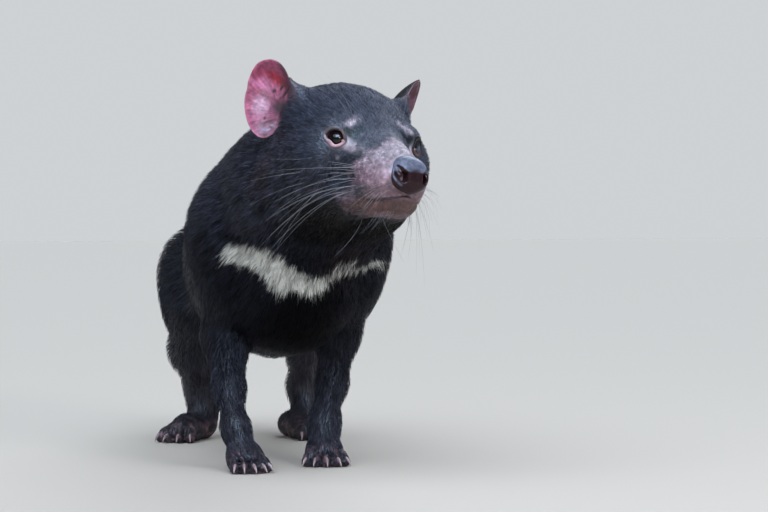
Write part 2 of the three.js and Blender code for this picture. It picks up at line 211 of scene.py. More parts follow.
back_balls = [[(0, -22, 216), 52], [(0, 66, 220), 43], [(3, 160, 201), 43], [(8, 246, 176), 40],
              [(10, 293, 172), 27]]
trunk_forms = [
    egg((0, 66, 166), (63, 106, 84)),
    egg((0, -21, 158), (54, 42, 71), pitch=22),
    egg((2, 156, 161), (62, 88, 78)),
    egg((8, 231, 158), (54, 76, 57)),
    *chain(back_balls),
]
neck_forms = chain([[(0, 12, 207), 62], [(8, -42, 218), 62], [(20, -80, 235), 54]])

BOTH = (1, -1)

# Each ear is a deep cup that sinks into the head. Its place is given
# across it (outwards), up it, and behind it.
EAR_MIDDLE = np.array([62.5, 6.0, 26.0])
EAR_HALF = (18.0, 31.0)
EAR_DEPTH = 14.0
EAR_TURN = math.radians(45)
EAR_ACROSS = np.array([math.cos(EAR_TURN), math.sin(EAR_TURN), 0])
EAR_RISE = np.array([0.17, -0.3, 0.94])
EAR_BEHIND = np.array([-math.sin(EAR_TURN), math.cos(EAR_TURN), 0.1])
EAR_CANAL = np.array([-0.45 * EAR_HALF[0], -0.35 * EAR_HALF[1], 0.75 * EAR_DEPTH])
EAR_FRAME = np.array([EAR_ACROSS, EAR_RISE, EAR_BEHIND])


def on_ear(across, rise, behind):
    """A place given in an ear's own directions from its middle, in the head's frame."""
    return EAR_MIDDLE + np.array([across, rise, behind]) @ EAR_FRAME


ear_margin = [[on_ear(-9.5, 22, 0.5), 2.8], [on_ear(-15, 16.5, 0), 4.0], [on_ear(-20, 12, 0), 4.4],
              [on_ear(-25, 7, 0), 6]]
head_parts = [
    egg((0, -6, 5), (50, 52, 40.5)),
    *[egg((s * 29, -8, 22), (17, 22, 14)) for s in BOTH],
    egg((0, -34, -3), (41, 37, 28), pitch=20),
    *[egg((s * 36, -20, -17), (23, 37, 33), yaw=s * 14) for s in BOTH],
    *[egg((s * 33, -4, -40), (25, 37, 29)) for s in BOTH],
    *[egg((s * 44, -7, 17), (13, 17, 20)) for s in BOTH],
    *[egg((s * 30, -44, 6), (13, 14, 9.5), yaw=s * 25) for s in BOTH],
    *[limb((s * 10, -57, -18), 19, (s * 7, -92, -27), 13) for s in BOTH],
    *[egg((s * 11, -82, -33), (11.5, 18.5, 13), yaw=s * 12) for s in BOTH],
    *[limb((s * 26, -28, -48), 19, (s * 9, -82, -45), 13) for s in BOTH],
    limb((0, -50, 0), 17, (0, -94, -16), 8.5),
    egg((0, -92, -37), (12, 12, 10)),
    egg((0, -83, -47), (12, 14, 10)),
    *[melt(1, chain([[ball * (s, 1, 1), radius] for ball, radius in ear_margin])) for s in BOTH],
]
head_form = in_head(melt(9, head_parts))

legs = {
    "foreleg_right": {
        "balls": [[(-42, 10, 188), 36], [(-46, 2, 148), 28], [(-48, 16, 104), 20], [(-50.5, -3, 64), 12.3],
                  [(-49.5, -27, 34), 10.3], [(-45, -39, 14), 10.5]],
        "muscle": egg((-46, 5, 185), (34, 44, 50), pitch=8, roll=4),
        "paw": dict(centre=(-44, -42, 0), heading=8, toes=5, fan=30, stride=13, palm=13.5, heel=6),
    },
    "foreleg_left": {
        "balls": [[(42, 14, 188), 36], [(47, 8, 148), 28], [(45, 32, 104), 19], [(39, 22, 64), 12.2],
                  [(30, 10, 34), 11.8], [(28, -1, 14), 12.2]],
        "muscle": egg((48, 9, 186), (35, 44, 52), pitch=8, roll=-4),
        "paw": dict(centre=(27, -4, 0), heading=-6, toes=5, fan=38, stride=13, palm=14.5, heel=6),
    },
    "hindleg_right": {
        "balls": [[(-33, 250, 152), 33], [(-41, 214, 118), 26], [(-36, 250, 80), 22], [(-22, 275, 45), 17],
                  [(-26, 263, 14), 13.5]],
        "muscle": egg((-35, 236, 137), (31, 49, 43), pitch=15),
        "paw": dict(centre=(-48, 237, 0), heading=-33, toes=4, fan=26, stride=16, palm=14, heel=36),
    },
    "hindleg_left": {
        "balls": [[(48, 250, 152), 33], [(60, 212, 118), 26], [(65, 249, 80), 18.5], [(67, 275, 44), 13.5],
                  [(66, 257, 14), 12]],
        "muscle": egg((52, 234, 137), (31, 49, 43), pitch=15),
        "paw": dict(centre=(64, 235, 0), heading=14, toes=4, fan=26, stride=16, palm=14, heel=36),
    },
}


def toe_lines(centre, heading, toes, fan, stride, palm, heel):
    """For each toe, fanned out from the palm, a function from a distance along it and a height to a point."""
    turn = turned(math.radians(heading), 0, 0)

    def line(share):
        angle = math.radians(fan * share)
        length = 1 - 0.22 * share * share

        def point(distance, z):
            x = share * (palm - 6) + math.sin(angle) * distance * length
            return np.array([x, -4 - math.cos(angle) * distance * length, z]) @ turn.T + centre

        return point

    return [line(2 * i / (toes - 1) - 1) for i in range(toes)]


def paw_form(paw):
    """A form: a palm of melted balls, two knuckle pads, and a row of toes that arch to the floor."""
    turn = turned(math.radians(paw["heading"]), 0, 0)
    to = lambda x, y, z: np.array([x, y, z]) @ turn.T + paw["centre"]
    heel = paw["heel"]
    pads = chain([[to(0, heel, 11), 12], [to(0, heel * 0.3, 10.5), 12], [to(0, -6, 9), 10.5]])
    pads += [limb(to(0, heel * 0.3, 8), 8.5, to(s * (paw["palm"] - 8), -5, 7), 7.6) for s in BOTH]
    toes = []
    for line in toe_lines(**paw):
        knuckle = paw["stride"] * 0.55
        balls = [[line(0, 9), TOE_RADIUS * 1.1], [line(knuckle, 8.6), TOE_RADIUS * 0.92],
                 [line(paw["stride"], TOE_RADIUS * 0.75), TOE_RADIUS * 0.88]]
        toes.append(melt(1.5, chain(balls)))
    return melt(1.2, [melt(8, pads), *toes])


# The two grooves between a toe and the next: how far along and how high each starts, its radius there, how
# far past the stride and how high it ends, and its radius there
CLEFTS = ((-1, 14, 1.0, 4, 8, 2.2), (7, 9, 0.9, 5, 2, 1.8))


def cleft_form(paw):
    """A form: the grooves over a paw, each a tapered limb midway between the lines of two toes."""
    lines = toe_lines(**paw)
    grooves = []
    for start, start_height, start_radius, past, end_height, end_radius in CLEFTS:
        end = paw["stride"] + past
        for a, b in zip(lines, lines[1:]):
            first = (a(start, start_height) + b(start, start_height)) / 2
            last = (a(end, end_height) + b(end, end_height)) / 2
            grooves.append(limb(first, start_radius, last, end_radius))
    return melt(0.5, grooves)


tail_balls = [[(8, 275, 174), 32], [(9, 317, 172), 27], [(10, 359, 154), 22], [(11, 385, 120), 17.5],
              [(12, 393, 84), 12.5], [(13, 390, 54), 7]]
trunk_form = melt(24, [*trunk_forms, *neck_forms, *[shrunk(leg["muscle"], 2) for leg in legs.values()]])
leg_forms = {name: melt(12, [*chain(leg["balls"]), leg["muscle"]]) for name, leg in legs.items()}
paw_forms = {name: paw_form(leg["paw"]) for name, leg in legs.items()}
clefts = melt(0.5, [cleft_form(leg["paw"]) for leg in legs.values()])
tail_form = melt(5, chain(tail_balls))
hide_form = melt(14, [
    melt(18, [trunk_form, head_form]),
    *[melt(7, [leg_forms[name], paw_forms[name]]) for name in legs],
    tail_form,
])

# How deep the coat lies, by height off the floor on the body, and by the
# distance back from the nose on the head
DEPTH_BY_HEIGHT = ([0, 14, 30, 60, 120, 170], [0.2, 0.4, 1.6, 3.0, 4.2, 6.0])
DEPTH_BY_HEAD = ([-105, -80, -55, -20, 20, 60], [0.2, 0.4, 1.0, 2.0, 4.0, 6.0])


def smooth(x, low, high):
    """0 below low, 1 above high, and an even S between them."""
    t = np.clip((x - low) / (high - low), 0, 1)
    return t * t * (3 - 2 * t)


def folded(q):
    """Places in the head's frame, with those on its right mirrored on to its left."""
    return np.stack([np.abs(q[..., 0]), q[..., 1], q[..., 2]], -1)


def coat_depth(p):
    """How deep the coat lies over a place on the hide: the depth for its height, or on the head the lesser of
    that and the depth for its distance from the nose, and less round the ears."""
    q = to_head(p)
    on_head = smooth(-q[..., 1], -40, 0) * smooth(q[..., 2], -105, -75)
    by_height = np.interp(p[..., 2], *DEPTH_BY_HEIGHT)
    depth = by_height + (np.minimum(np.interp(q[..., 1], *DEPTH_BY_HEAD), by_height) - by_height) * on_head
    from_ear = np.linalg.norm(folded(q) - EAR_MIDDLE, axis=-1)
    return depth * (1 - 0.65 * np.exp(-((from_ear / 26) ** 2)))


# The eyes sit in the hide, and each lid is a thick ball over the eye that an almond opens
EYE_SEAT = np.array([31.5, -50.0, -2.5])
EYE_ASIDE = math.radians(43)
EYE_RAISE = math.radians(8)
EYE_RADIUS = 7.6
LID_THICKNESS = 1.3
EYE_TILT = math.radians(14)
ALMOND = (15.4, 12.2)


def eye_frame(s):
    """The centre of an eye, and the directions across its opening (outwards), up and ahead, in the head's
    frame. The outer corner stands higher than the inner one."""
    ahead = np.array([s * math.sin(EYE_ASIDE) * math.cos(EYE_RAISE),
                      -math.cos(EYE_ASIDE) * math.cos(EYE_RAISE), math.sin(EYE_RAISE)])
    up = np.array([0, 0, 1.0])
    up -= ahead * (up @ ahead)
    up /= np.linalg.norm(up)
    across = s * np.cross(up, ahead)
    c, w = math.cos(EYE_TILT), math.sin(EYE_TILT)
    return EYE_SEAT * (s, 1, 1), across * c + up * w, up * c - across * w, ahead


def almond_distance(q, s, grow=0.0):
    """Nearly the distance from the almond, where two upright circles cross,
    and how far ahead of the eye's centre."""
    centre, across, up, ahead = eye_frame(s)
    d = q - centre
    x, y, z = d @ across, d @ up, d @ ahead
    half = ALMOND[1] / 2
    radius = (ALMOND[0] ** 2 / 4 + half**2) / (2 * half)
    low = np.hypot(x, y - (radius - half)) - radius
    high = np.hypot(x, y + (radius - half)) - radius
    return np.maximum(low, high) - grow, z


def ear_hollow(q):
    """Nearly the distance from the room inside the right or left ear's cup. A line from the canal through the
    point meets the oval rim, and the share of that line gives how deep the cup is there."""
    a, r, b = np.moveaxis((folded(q) - EAR_MIDDLE) @ np.linalg.inv(EAR_FRAME), -1, 0)
    da, dr = a - EAR_CANAL[0], r - EAR_CANAL[1]
    ca, cr = EAR_CANAL[0] / EAR_HALF[0], EAR_CANAL[1] / EAR_HALF[1]
    ua, ur = da / EAR_HALF[0], dr / EAR_HALF[1]
    squares = ua**2 + ur**2 + 1e-9
    half_b = ca * ua + cr * ur
    whole = (-half_b + np.sqrt(half_b**2 + squares * (1 - ca**2 - cr**2))) / squares
    share = 1 / whole
    t = (1.24 - np.sqrt(np.maximum(1.24**2 - 0.96 * np.minimum(share, 1), 0))) / 0.48
    depth = EAR_DEPTH * (0.75 * (1 - t) ** 2 + 2 * t * (1 - t) * (0.38 * 0.75 + 0.85))
    return np.maximum.reduce([(share - 1) * EAR_HALF[0], b - depth, -b - 14])


lid_balls = melt(1, [limb(from_head(EYE_SEAT * (s, 1, 1)), EYE_RADIUS + LID_THICKNESS,
                          from_head(EYE_SEAT * (s, 1, 1) + 0.1), EYE_RADIUS + LID_THICKNESS) for s in BOTH])
# The lids, the eyes' openings, the mouth and the ear hollows all lie
# above this height and ahead of this place
FACE_LOWEST = 190
FACE_REARMOST = -30


def reach_face(p):
    """Whether the box of some points reaches the face's own forms."""
    points = p.reshape(-1, 3)
    return points[:, 2].max() > FACE_LOWEST and points[:, 1].min() < FACE_REARMOST


def lidded(p):
    """The melted forms, less the coat's depth, with the round of each closed lid."""
    d = hide_form[0](p) + coat_depth(p).astype(np.float32)
    return melted(d, lid_balls[0](p), 4) if reach_face(p) else d


def hide(p):
    """The whole skin: the lidded forms with open eyes, mouth, ear hollows, toe clefts and flat soles."""
    d = lidded(p)
    if reach_face(p):
        q = to_head(p)
        for s in BOTH:
            almond, ahead = almond_distance(q, s)
            d = np.maximum(d, -np.maximum(almond, 3 - ahead))
        d = carved(d, mouth_form[0](p), 1.5)
        d = np.maximum(d, -ear_hollow(q) + 0.8)
    if p[..., 2].min() < 20:
        d = carved(d, clefts[0](p), 1.5)
    return np.maximum(d, -p[..., 2])


# The grid the skin is found on is finest over the face and feet: its slices stand along the
# body, and each slice has its own spacing
SPACING = ([-200, -140, -90, 20, 110, 190, 215, 275, 300, 420],
           [1.2, 1.25, 1.7, 2.6, 3.3, 3.0, 2.4, 2.4, 3.2, 3.2])
SPAN_X = (-86, 99)
SPAN_Y = (-196, 413)
SPAN_Z = (-4, 330)


def without_pinches(values):
    """The grid's values, with the few outside points made just inside where the net would touch itself along
    an edge, which is at each square of four grid points whose opposite corners alone are inside."""
    for pass_number in range(6):
        outside = values >= 0
        for axes in ((0, 1), (0, 2), (1, 2)):
            side, layer = np.moveaxis(outside, axes, (0, 1)), np.moveaxis(values, axes, (0, 1))
            crossed = (side[:-1, :-1] == side[1:, 1:]) & (side[:-1, 1:] == side[1:, :-1])
            crossed &= side[:-1, :-1] != side[1:, :-1]
            for i, j, k in np.argwhere(crossed):
                square = layer[i:i + 2, j:j + 2, k]
                square[square >= 0] = -0.05
    return values


def largest_shell(points, faces):
    """The largest closed surface of a mesh alone, without the bubbles between closed toes. Points of one
    surface come to share their lowest number."""
    lower = np.arange(len(points))
    shell = None
    while shell is None or (lower != shell).any():
        shell = lower
        lower = shell.copy()
        np.minimum.at(lower, faces, shell[faces].min(1, keepdims=True))
        lower = lower[lower]
    kept = shell[faces[:, 0]] == np.bincount(shell).argmax()
    used, numbers = np.unique(faces[kept], return_inverse=True)
    return points[used], numbers.reshape(-1, faces.shape[1])


def surface_net(values, place):
    """A closed mesh of four-sided faces where values on a grid pass through zero. Each cell that
    the surface crosses has one point, the mean of where its edges are crossed, and each crossed
    edge joins the four cells around it."""
    values = without_pinches(values)
    inside = values < 0
    corners = [(i, j, k) for i in (0, 1) for j in (0, 1) for k in (0, 1)]
    count = np.zeros(np.array(values.shape) - 1, np.uint8)
    for i, j, k in corners:
        count += inside[i:i + count.shape[0], j:j + count.shape[1], k:k + count.shape[2]]
    cells = np.argwhere((count > 0) & (count < 8))
    number = np.full(count.shape, -1, np.int32)
    number[tuple(cells.T)] = np.arange(len(cells))
    total = np.zeros((len(cells), 3))
    crossings = np.zeros(len(cells))
    for axis in range(3):
        step = np.eye(3, dtype=int)[axis]
        for corner in corners:
            if corner[axis]:
                continue
            a, b = cells + corner, cells + corner + step
            va, vb = values[tuple(a.T)], values[tuple(b.T)]
            crossed = (va < 0) != (vb < 0)
            share = np.where(crossed, va / np.where(crossed, va - vb, 1), 0)[:, None]
            total += np.where(crossed[:, None], place(a) * (1 - share) + place(b) * share, 0)
            crossings += crossed
    points = total / crossings[:, None]
    faces = []
    for axis in range(3):
        u, v = np.eye(3, dtype=int)[(axis + 1) % 3], np.eye(3, dtype=int)[(axis + 2) % 3]
        first = inside[tuple(slice(0, -1) if i == axis else slice(1, -1) for i in range(3))]
        second = inside[tuple(slice(1, None) if i == axis else slice(1, -1) for i in range(3))]
        edges = np.argwhere(first != second) + (np.arange(3) != axis)
        starts = first[first != second]
        quad = np.stack([number[tuple((edges - m).T)] for m in (u + v, v, u * 0, u)], 1)
        faces.append(np.where(starts[:, None], quad, quad[:, ::-1]))
    return largest_shell(points, np.concatenate(faces))


def settled(points, form, batches=1):
    """Points moved along the form's slope on to its surface, and the outward direction at each. Batches of
    neighbours along Y are worked out together, so that far forms are passed over."""
    points = points.astype(np.float32)
    outward = np.zeros_like(points)
    for batch in np.array_split(np.argsort(points[:, 1]), batches):
        p = points[batch]
        for move in (True, False):
            value = form(p)
            slope = np.stack([form(p + h) - value for h in np.eye(3, dtype=np.float32) * 0.3], 1) / 0.3
            size = np.linalg.norm(slope, axis=1, keepdims=True) + 1e-6
            if move:
                p = p - slope / size * np.clip(value[:, None] / np.maximum(size, 0.5), -0.8, 0.8)
        points[batch] = p
        outward[batch] = slope / size
    return points, outward


# The mouth is shut, and its line runs on the hide from corner to corner, rising under the nose
MOUTH = [(35, -56, -44), (31, -63.6, -44.7), (27.7, -71.5, -45.8), (22.3, -85.8, -47.9), (16.4, -95.8, -46.6),
         (6.6, -102.1, -44.1), (0, -103.9, -42.2)]
mouth_ends = np.array(MOUTH + [(-x, y, z) for x, y, z in MOUTH[-2::-1]])
mouth_step = np.linspace(0, len(mouth_ends) - 1, 49)
mouth_number = np.arange(len(mouth_ends))
mouth_line = np.stack([np.interp(mouth_step, mouth_number, mouth_ends[:, i]) for i in range(3)], 1)
bare_head = lambda p: hide_form[0](p) + coat_depth(p)
for pass_number in range(6):
    mouth_line[1:-1] = (mouth_line[:-2] + 2 * mouth_line[1:-1] + mouth_line[2:]) / 4
    mouth_line = to_head(settled(from_head(mouth_line), bare_head)[0])
mouth_form = melt(1, chain([[from_head(p), 0.6] for p in mouth_line[::2]]))


def hide_mesh():
    """Values of the hide on the slices, its surface net, and the net's points settled on the
    hide. On each slice the values are found at every fourth point first, and then at all the
    points of the blocks near the surface."""
    BLOCK = 4
    stations = [SPAN_Y[0]]
    while stations[-1] < SPAN_Y[1]:
        stations.append(stations[-1] + np.interp(stations[-1], *SPACING))
    stations = np.array(stations)
    spacing = np.interp(stations, *SPACING)
    finest = spacing.min()
    columns = int((SPAN_X[1] - SPAN_X[0]) / finest) + 2
    levels = int((SPAN_Z[1] - SPAN_Z[0]) / finest) + 2
    middle = (SPAN_X[0] + SPAN_X[1]) / 2

    def place(index):
        size = spacing[index[..., 1]]
        x = middle + (index[..., 0] - columns / 2) * size
        return np.stack([x, stations[index[..., 1]], (index[..., 2] - 3) * size + 0.3], -1)

    values = np.full((columns, len(stations), levels), 60, np.float32)
    for j, size in enumerate(spacing):
        half = int((SPAN_X[1] - SPAN_X[0]) / 2 / size) + 1
        left = max(0, columns // 2 - half)
        right = min(columns, columns // 2 + half + 1)
        top = min(levels, int(SPAN_Z[1] / size) + 4)
        index = np.stack(np.meshgrid(np.arange(left, right), [j], np.arange(top), indexing="ij"), -1)[:, 0]
        rough = hide(place(index[::BLOCK, ::BLOCK]).astype(np.float32))
        slab = np.kron(rough, np.ones((BLOCK, BLOCK), np.float32))[:right - left, :top]
        near = np.abs(slab) < 1.6 * BLOCK * size
        if near.any():
            slab[near] = hide(place(index[near]).astype(np.float32))
        values[left:right, j, :top] = slab
    points, faces = surface_net(values, place)
    return *settled(points, hide, 90), faces


def new_piece(name, points, *face_sets, colours=None, bake=None):
    """An object of one smooth mesh from points in millimetres and arrays of three-sided or four-sided faces,
    with an optional colour at each point and an optional baking map of one place for each point."""
    mesh = bpy.data.meshes.new(name)
    corners = np.concatenate([f.ravel() for f in face_sets]).astype(np.int32)
    sizes = np.concatenate([np.full(len(f), f.shape[1]) for f in face_sets])
    mesh.vertices.add(len(points))
    mesh.vertices.foreach_set("co", in_part(points).astype(np.float32).ravel())
    mesh.loops.add(len(corners))
    mesh.loops.foreach_set("vertex_index", corners)
    mesh.polygons.add(len(sizes))
    mesh.polygons.foreach_set("loop_start", np.concatenate([[0], np.cumsum(sizes)[:-1]]).astype(np.int32))
    mesh.polygons.foreach_set("use_smooth", np.ones(len(sizes), bool))
    mesh.update(calc_edges=True)
    if colours is not None:
        attribute = mesh.color_attributes.new("pelt", "FLOAT_COLOR", "POINT")
        rgba = np.concatenate([colours, np.ones((len(points), 1))], 1)
        attribute.data.foreach_set("color", rgba.astype(np.float32).ravel())
    if bake is not None:
        layer = mesh.uv_layers.new(name="OFBake")
        layer.data.foreach_set("uv", bake[corners].astype(np.float32).ravel())
    piece = bpy.data.objects.new(name, mesh)
    bpy.context.scene.collection.objects.link(piece)
    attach(piece, "root")
    return piece


def lattice_rows(table, cell):
    """For each cell of a lattice, a row of a table of 4096 random ones,
    chosen by mixing the cell's numbers."""
    key = cell @ np.array([73856093, 19349663, 83492791])
    return table[(key ^ (key >> 13)) & 4095]


def wander(p, size, seed):
    """A smooth random vector at each point: lattice vectors a size
    apart, blended between the eight round it."""
    table = np.random.default_rng(seed).uniform(-1, 1, (4096, 3))
    cell = np.floor(p / size).astype(np.int64)
    share = smooth(p / size - cell, 0, 1)
    total = np.zeros(p.shape)
    for corner in np.ndindex(2, 2, 2):
        weight = np.prod(np.where(corner, share, 1 - share), -1)
        total += lattice_rows(table, cell + corner) * weight[..., None]
    return total


BLACK = np.array([0.036, 0.037, 0.053])
LOW_BLACK = np.array([0.0130, 0.0135, 0.0195])
SHADED_CHEST_BLACK = np.array([0.0022, 0.0018, 0.0020])
FACE_GREY = np.array([0.036, 0.040, 0.062])
CROWN_GREY = np.array([0.078, 0.080, 0.120])
BRIDGE_GREY = np.array([0.105, 0.115, 0.158])
LEG_GREY = np.array([0.037, 0.036, 0.049])
RUSSET = np.array([0.055, 0.024, 0.017])
CREAM = np.array([0.92, 0.92, 0.86])
MUZZLE_SIDE = np.array([0.37, 0.25, 0.315])
MUZZLE_TOP = np.array([0.37, 0.32, 0.38])
MUZZLE_LIP = np.array([0.190, 0.115, 0.140])
MUZZLE_LOW = np.array([0.052, 0.042, 0.054])
MUZZLE_FURROW = np.array([0.120, 0.070, 0.098])
CHIN_BROWN = np.array([0.098, 0.046, 0.044])
CORNER_GREY = np.array([0.170, 0.125, 0.155])
EAR_MARGIN = np.array([0.075, 0.045, 0.060])
DARK_LIP_AND_CREASE_SHADE = np.array([0.014, 0.008, 0.009])
LASH_BLACK = np.array([0.002, 0.002, 0.003])
FACE_PALE = np.array([0.56, 0.49, 0.58])
LID_GREY = np.array([0.20, 0.17, 0.20])
TOE_PINK = np.array([0.30, 0.170, 0.215])
TOE_DARK = np.array([0.020, 0.015, 0.020])
BAND_UPPER = ([-57, -55, -53, -45, -36, -28, -21, -8, 1, 9, 17, 26, 40, 60, 76],
              [178, 180, 182, 182.5, 183, 179.5, 175.5, 164, 161, 159, 161, 164, 166, 168, 168])
BAND_LOWER = ([-57, -53, -45, -36, -28, -22, -15, -8, -2, 7, 14, 19, 24, 34, 60, 76],
              [171, 169, 168, 165, 157, 147, 146, 150, 147, 146, 150, 157, 161, 162, 165, 167])
# The muzzle's bare side starts further forward the higher on the face
MUZZLE_START = ([-45, -24, -19, -15, -10, -6, -1, 4], [65, 64, 68, 75, 79, 82, 82, 84])


def in_batches(form, points, count=80):
    """A form's values at many points, worked out for neighbours along Y together."""
    values = np.zeros(len(points), np.float32)
    for batch in np.array_split(np.argsort(points[:, 1]), count):
        values[batch] = form(points[batch].astype(np.float32))
    return values


def tinted(colour, other, share):
    """A colour moved by a share of the way to another."""
    return colour + (other - colour) * share[..., None]


def near_point(q, centre, size):
    """1 at a point, falling away evenly over a distance given for each axis."""
    return np.exp(-(((q - np.array(centre)) / np.array(size)) ** 2).sum(-1))


def streak(q, a, b, radius, soft):
    """1 within a radius of the line between two points, fading out over a soft edge."""
    return smooth(-limb(a, radius, b, radius * 0.999)[0](q), -soft, soft)


def on_hide(places):
    """Places in the head's frame, moved along the hide's slope on to it."""
    points = from_head(np.array(places, float))
    for pass_number in range(6):
        points = settled(points, bare_head)[0]
    return to_head(points)


# Streaks on the left half of the face, in the order they lie: colour,
# share, ends, radius, softness and patchiness
FACE_STREAKS = [
    (MUZZLE_FURROW, 0.8, (12.5, -96, -18), (13.5, -98, -33), 1.0, 3.5, 0.0),
    (MUZZLE_LOW, 0.6, (14, -102, -39), (24, -84, -42), 0.5, 0.9, 0.0),
    (MUZZLE_LOW, 0.6, (14, -102, -36), (26, -86, -37.5), 0.5, 0.9, 0.0),
    (MUZZLE_LOW, 0.6, (16, -100, -33), (27, -88, -32), 0.5, 0.9, 0.0),
    (CORNER_GREY, 0.8, (33, -56, -44), (27, -71, -46), 2.4, 3.0, 0.8),
    (FACE_PALE, 0.9, (28.5, -57, 9), (19, -55, 14.5), 2.3, 2.6, 0.6),
    (FACE_PALE, 1.0, (30, -58, -4.5), (25.6, -63.7, -8.4), 3.6, 2.6, 0.4),
    (FACE_PALE, 0.4, (28, -62, -5), (21, -73, -11), 2.5, 4.0, 0.4),
    (LASH_BLACK, 1.0, (28.7, -58, 5.5), (24.9, -59.5, 1.6), 2.7, 1.5, 0.0),
    (LASH_BLACK, 1.0, (24.9, -59.5, 1.8), (17.6, -59.7, 7.0), 2.5, 1.6, 0.0),
    (FACE_PALE, 0.6, (33.7, -55.4, -16.7), (33.6, -55.6, -16.7), 1.2, 1.6, 0.0),
]
face_streaks = [(colour, share, *on_hide([a, b]), *rest) for colour, share, a, b, *rest in FACE_STREAKS]


def ear_root(side):
    """1 on the bare skin that joins the ear's inner margin to the head."""
    upper = streak(side, (56, -9, 47), (52, -13, 39), 4.5, 2.5)
    return np.maximum(upper, streak(side, (52, -13, 39), (52.5, -14, 27), 4.0, 3.0))


def face_markings(q, blotch):
    """Grey guard hair over brow and bridge, a bare muzzle, pale at the top and brown at the
    chin, and pale patches over and under each eye with a black streak between them. Gives the
    shares and colours in the order they lie."""
    side = folded(q)
    back, height = -q[..., 1], q[..., 2]
    start = np.interp(height, *MUZZLE_START)
    muzzle = smooth(back + 4 * blotch, start - 6, start + 8) * smooth(height + 1.5 * blotch, -61, -53)
    low = smooth(-height, 29, 40) * smooth(-back, -90, -75)
    yield FACE_GREY, smooth(height, -45, 3) * smooth(back, -90, -5)
    yield CROWN_GREY, 0.7 * smooth(height, 10, 34) * smooth(back, -60, -20)
    yield BRIDGE_GREY, 0.75 * smooth(height, -16, 8) * smooth(back, 18, 84)
    yield MUZZLE_SIDE, muzzle
    yield MUZZLE_TOP, muzzle * smooth(height, -30, -10)
    yield MUZZLE_LIP, muzzle * smooth(-height, 32, 40)
    yield MUZZLE_LOW, muzzle * low
    yield CHIN_BROWN, muzzle * smooth(-height, 43, 47)
    for colour, share, a, b, radius, soft, patchy in face_streaks:
        yield colour, share * streak(side, a, b, radius, soft) * (1 + patchy * blotch)
    yield EAR_MARGIN, 0.9 * ear_root(side)


def markings(p):
    """The colour of hide and coat at each point: black, greyer on the legs and blackest on the chest and
    throat, where the black hair is darkened further as painted shade of the head, with russet at the neck's
    side and throat, a cream band across the chest, and the face's markings."""
    q = to_head(p)
    side = folded(q)
    ragged = wander(p, 5.0, 3)[..., 0] * 2.0
    colour = np.broadcast_to(BLACK, p.shape)
    colour = tinted(colour, LOW_BLACK, smooth(-p[..., 2], -225, -165))
    colour = tinted(colour, LEG_GREY, 0.9 * smooth(-p[..., 2], -120, -40))
    # Painted shade: the throat under the head and the middle of the chest go to near black
    throat = smooth(-q[..., 2], 40, 58) * smooth(p[..., 2], 175, 188)
    throat = throat * smooth(p[..., 0], -32, -6) * smooth(-p[..., 1], 20, 50)
    chest = near_point(p, (2, -50, 125), (34, 60, 36)) + throat
    colour = tinted(colour, SHADED_CHEST_BLACK, np.clip(1.3 * chest, 0, 1))
    russet = 0.8 * near_point(side, (58, 10, -20), (9, 9, 20))
    russet = russet + 0.4 * near_point(p, (26, -62, 172), (16, 30, 12))
    colour = tinted(colour, RUSSET, np.clip(russet, 0, 1))
    upper = np.interp(p[..., 0], *BAND_UPPER) + ragged
    lower = np.interp(p[..., 0], *BAND_LOWER) + ragged
    band = smooth(upper - p[..., 2], -1.5, 2) * smooth(p[..., 2] - lower, -1.5, 2)
    band *= (p[..., 0] > BAND_UPPER[0][0]) * (p[..., 0] < BAND_UPPER[0][-1])
    band *= (p[..., 1] < 12) * smooth(-q[..., 2], 60, 70)
    colour = tinted(colour, CREAM, band)
    on_face = smooth(-q[..., 1], -40, -20) * smooth(q[..., 2], -66, -60)
    for other, share in face_markings(q, wander(p, 3.0, 4)[..., 0]):
        colour = tinted(colour, other, np.clip(share, 0, 1) * on_face)
    grain = wander(p, 1.6, 5)[..., 0] + 0.7 * wander(p, 3.5, 6)[..., 0]
    colour = colour * np.exp(0.5 * grain * on_face)[..., None]
    # Along the mouth's line on the right half the hide is darkened: dark lip edge and painted shade of the
    # crease
    seam = in_batches(mouth_form[0], p) if p.ndim == 2 else mouth_form[0](p)
    lip = 0.85 * smooth(-seam, -0.5, 0.5) * smooth(-q[..., 1], 80, 92) * smooth(-q[..., 0], -8, -2)
    return tinted(colour, DARK_LIP_AND_CREASE_SHADE, lip)


def bare_parts(p):
    """Shares of the hide that are bare toe skin, and bare skin round the eyes."""
    q = to_head(p)
    side = folded(q)
    from_eye = np.linalg.norm(side - EYE_SEAT, axis=-1)
    eye = smooth(-from_eye, -12.5, -9.3) * smooth(-side[..., 1], 40, 46) * smooth(-side[..., 2], -2, 3)
    return smooth(-p[..., 2], -25, -13), eye


skin_points, skin_outward, skin_faces = hide_mesh()
toe_share, eye_share = bare_parts(skin_points)
grime = wander(skin_points, 4.0, 11)[:, 0] * 0.5 + wander(skin_points, 1.7, 12)[:, 0] * 0.3
skin_colours = markings(skin_points)
skin_colours = tinted(skin_colours, tinted(TOE_DARK, TOE_PINK, np.clip(0.1 + 1.6 * grime, 0, 1)), toe_share)
skin_colours = tinted(skin_colours, LID_GREY, 0.7 * eye_share)


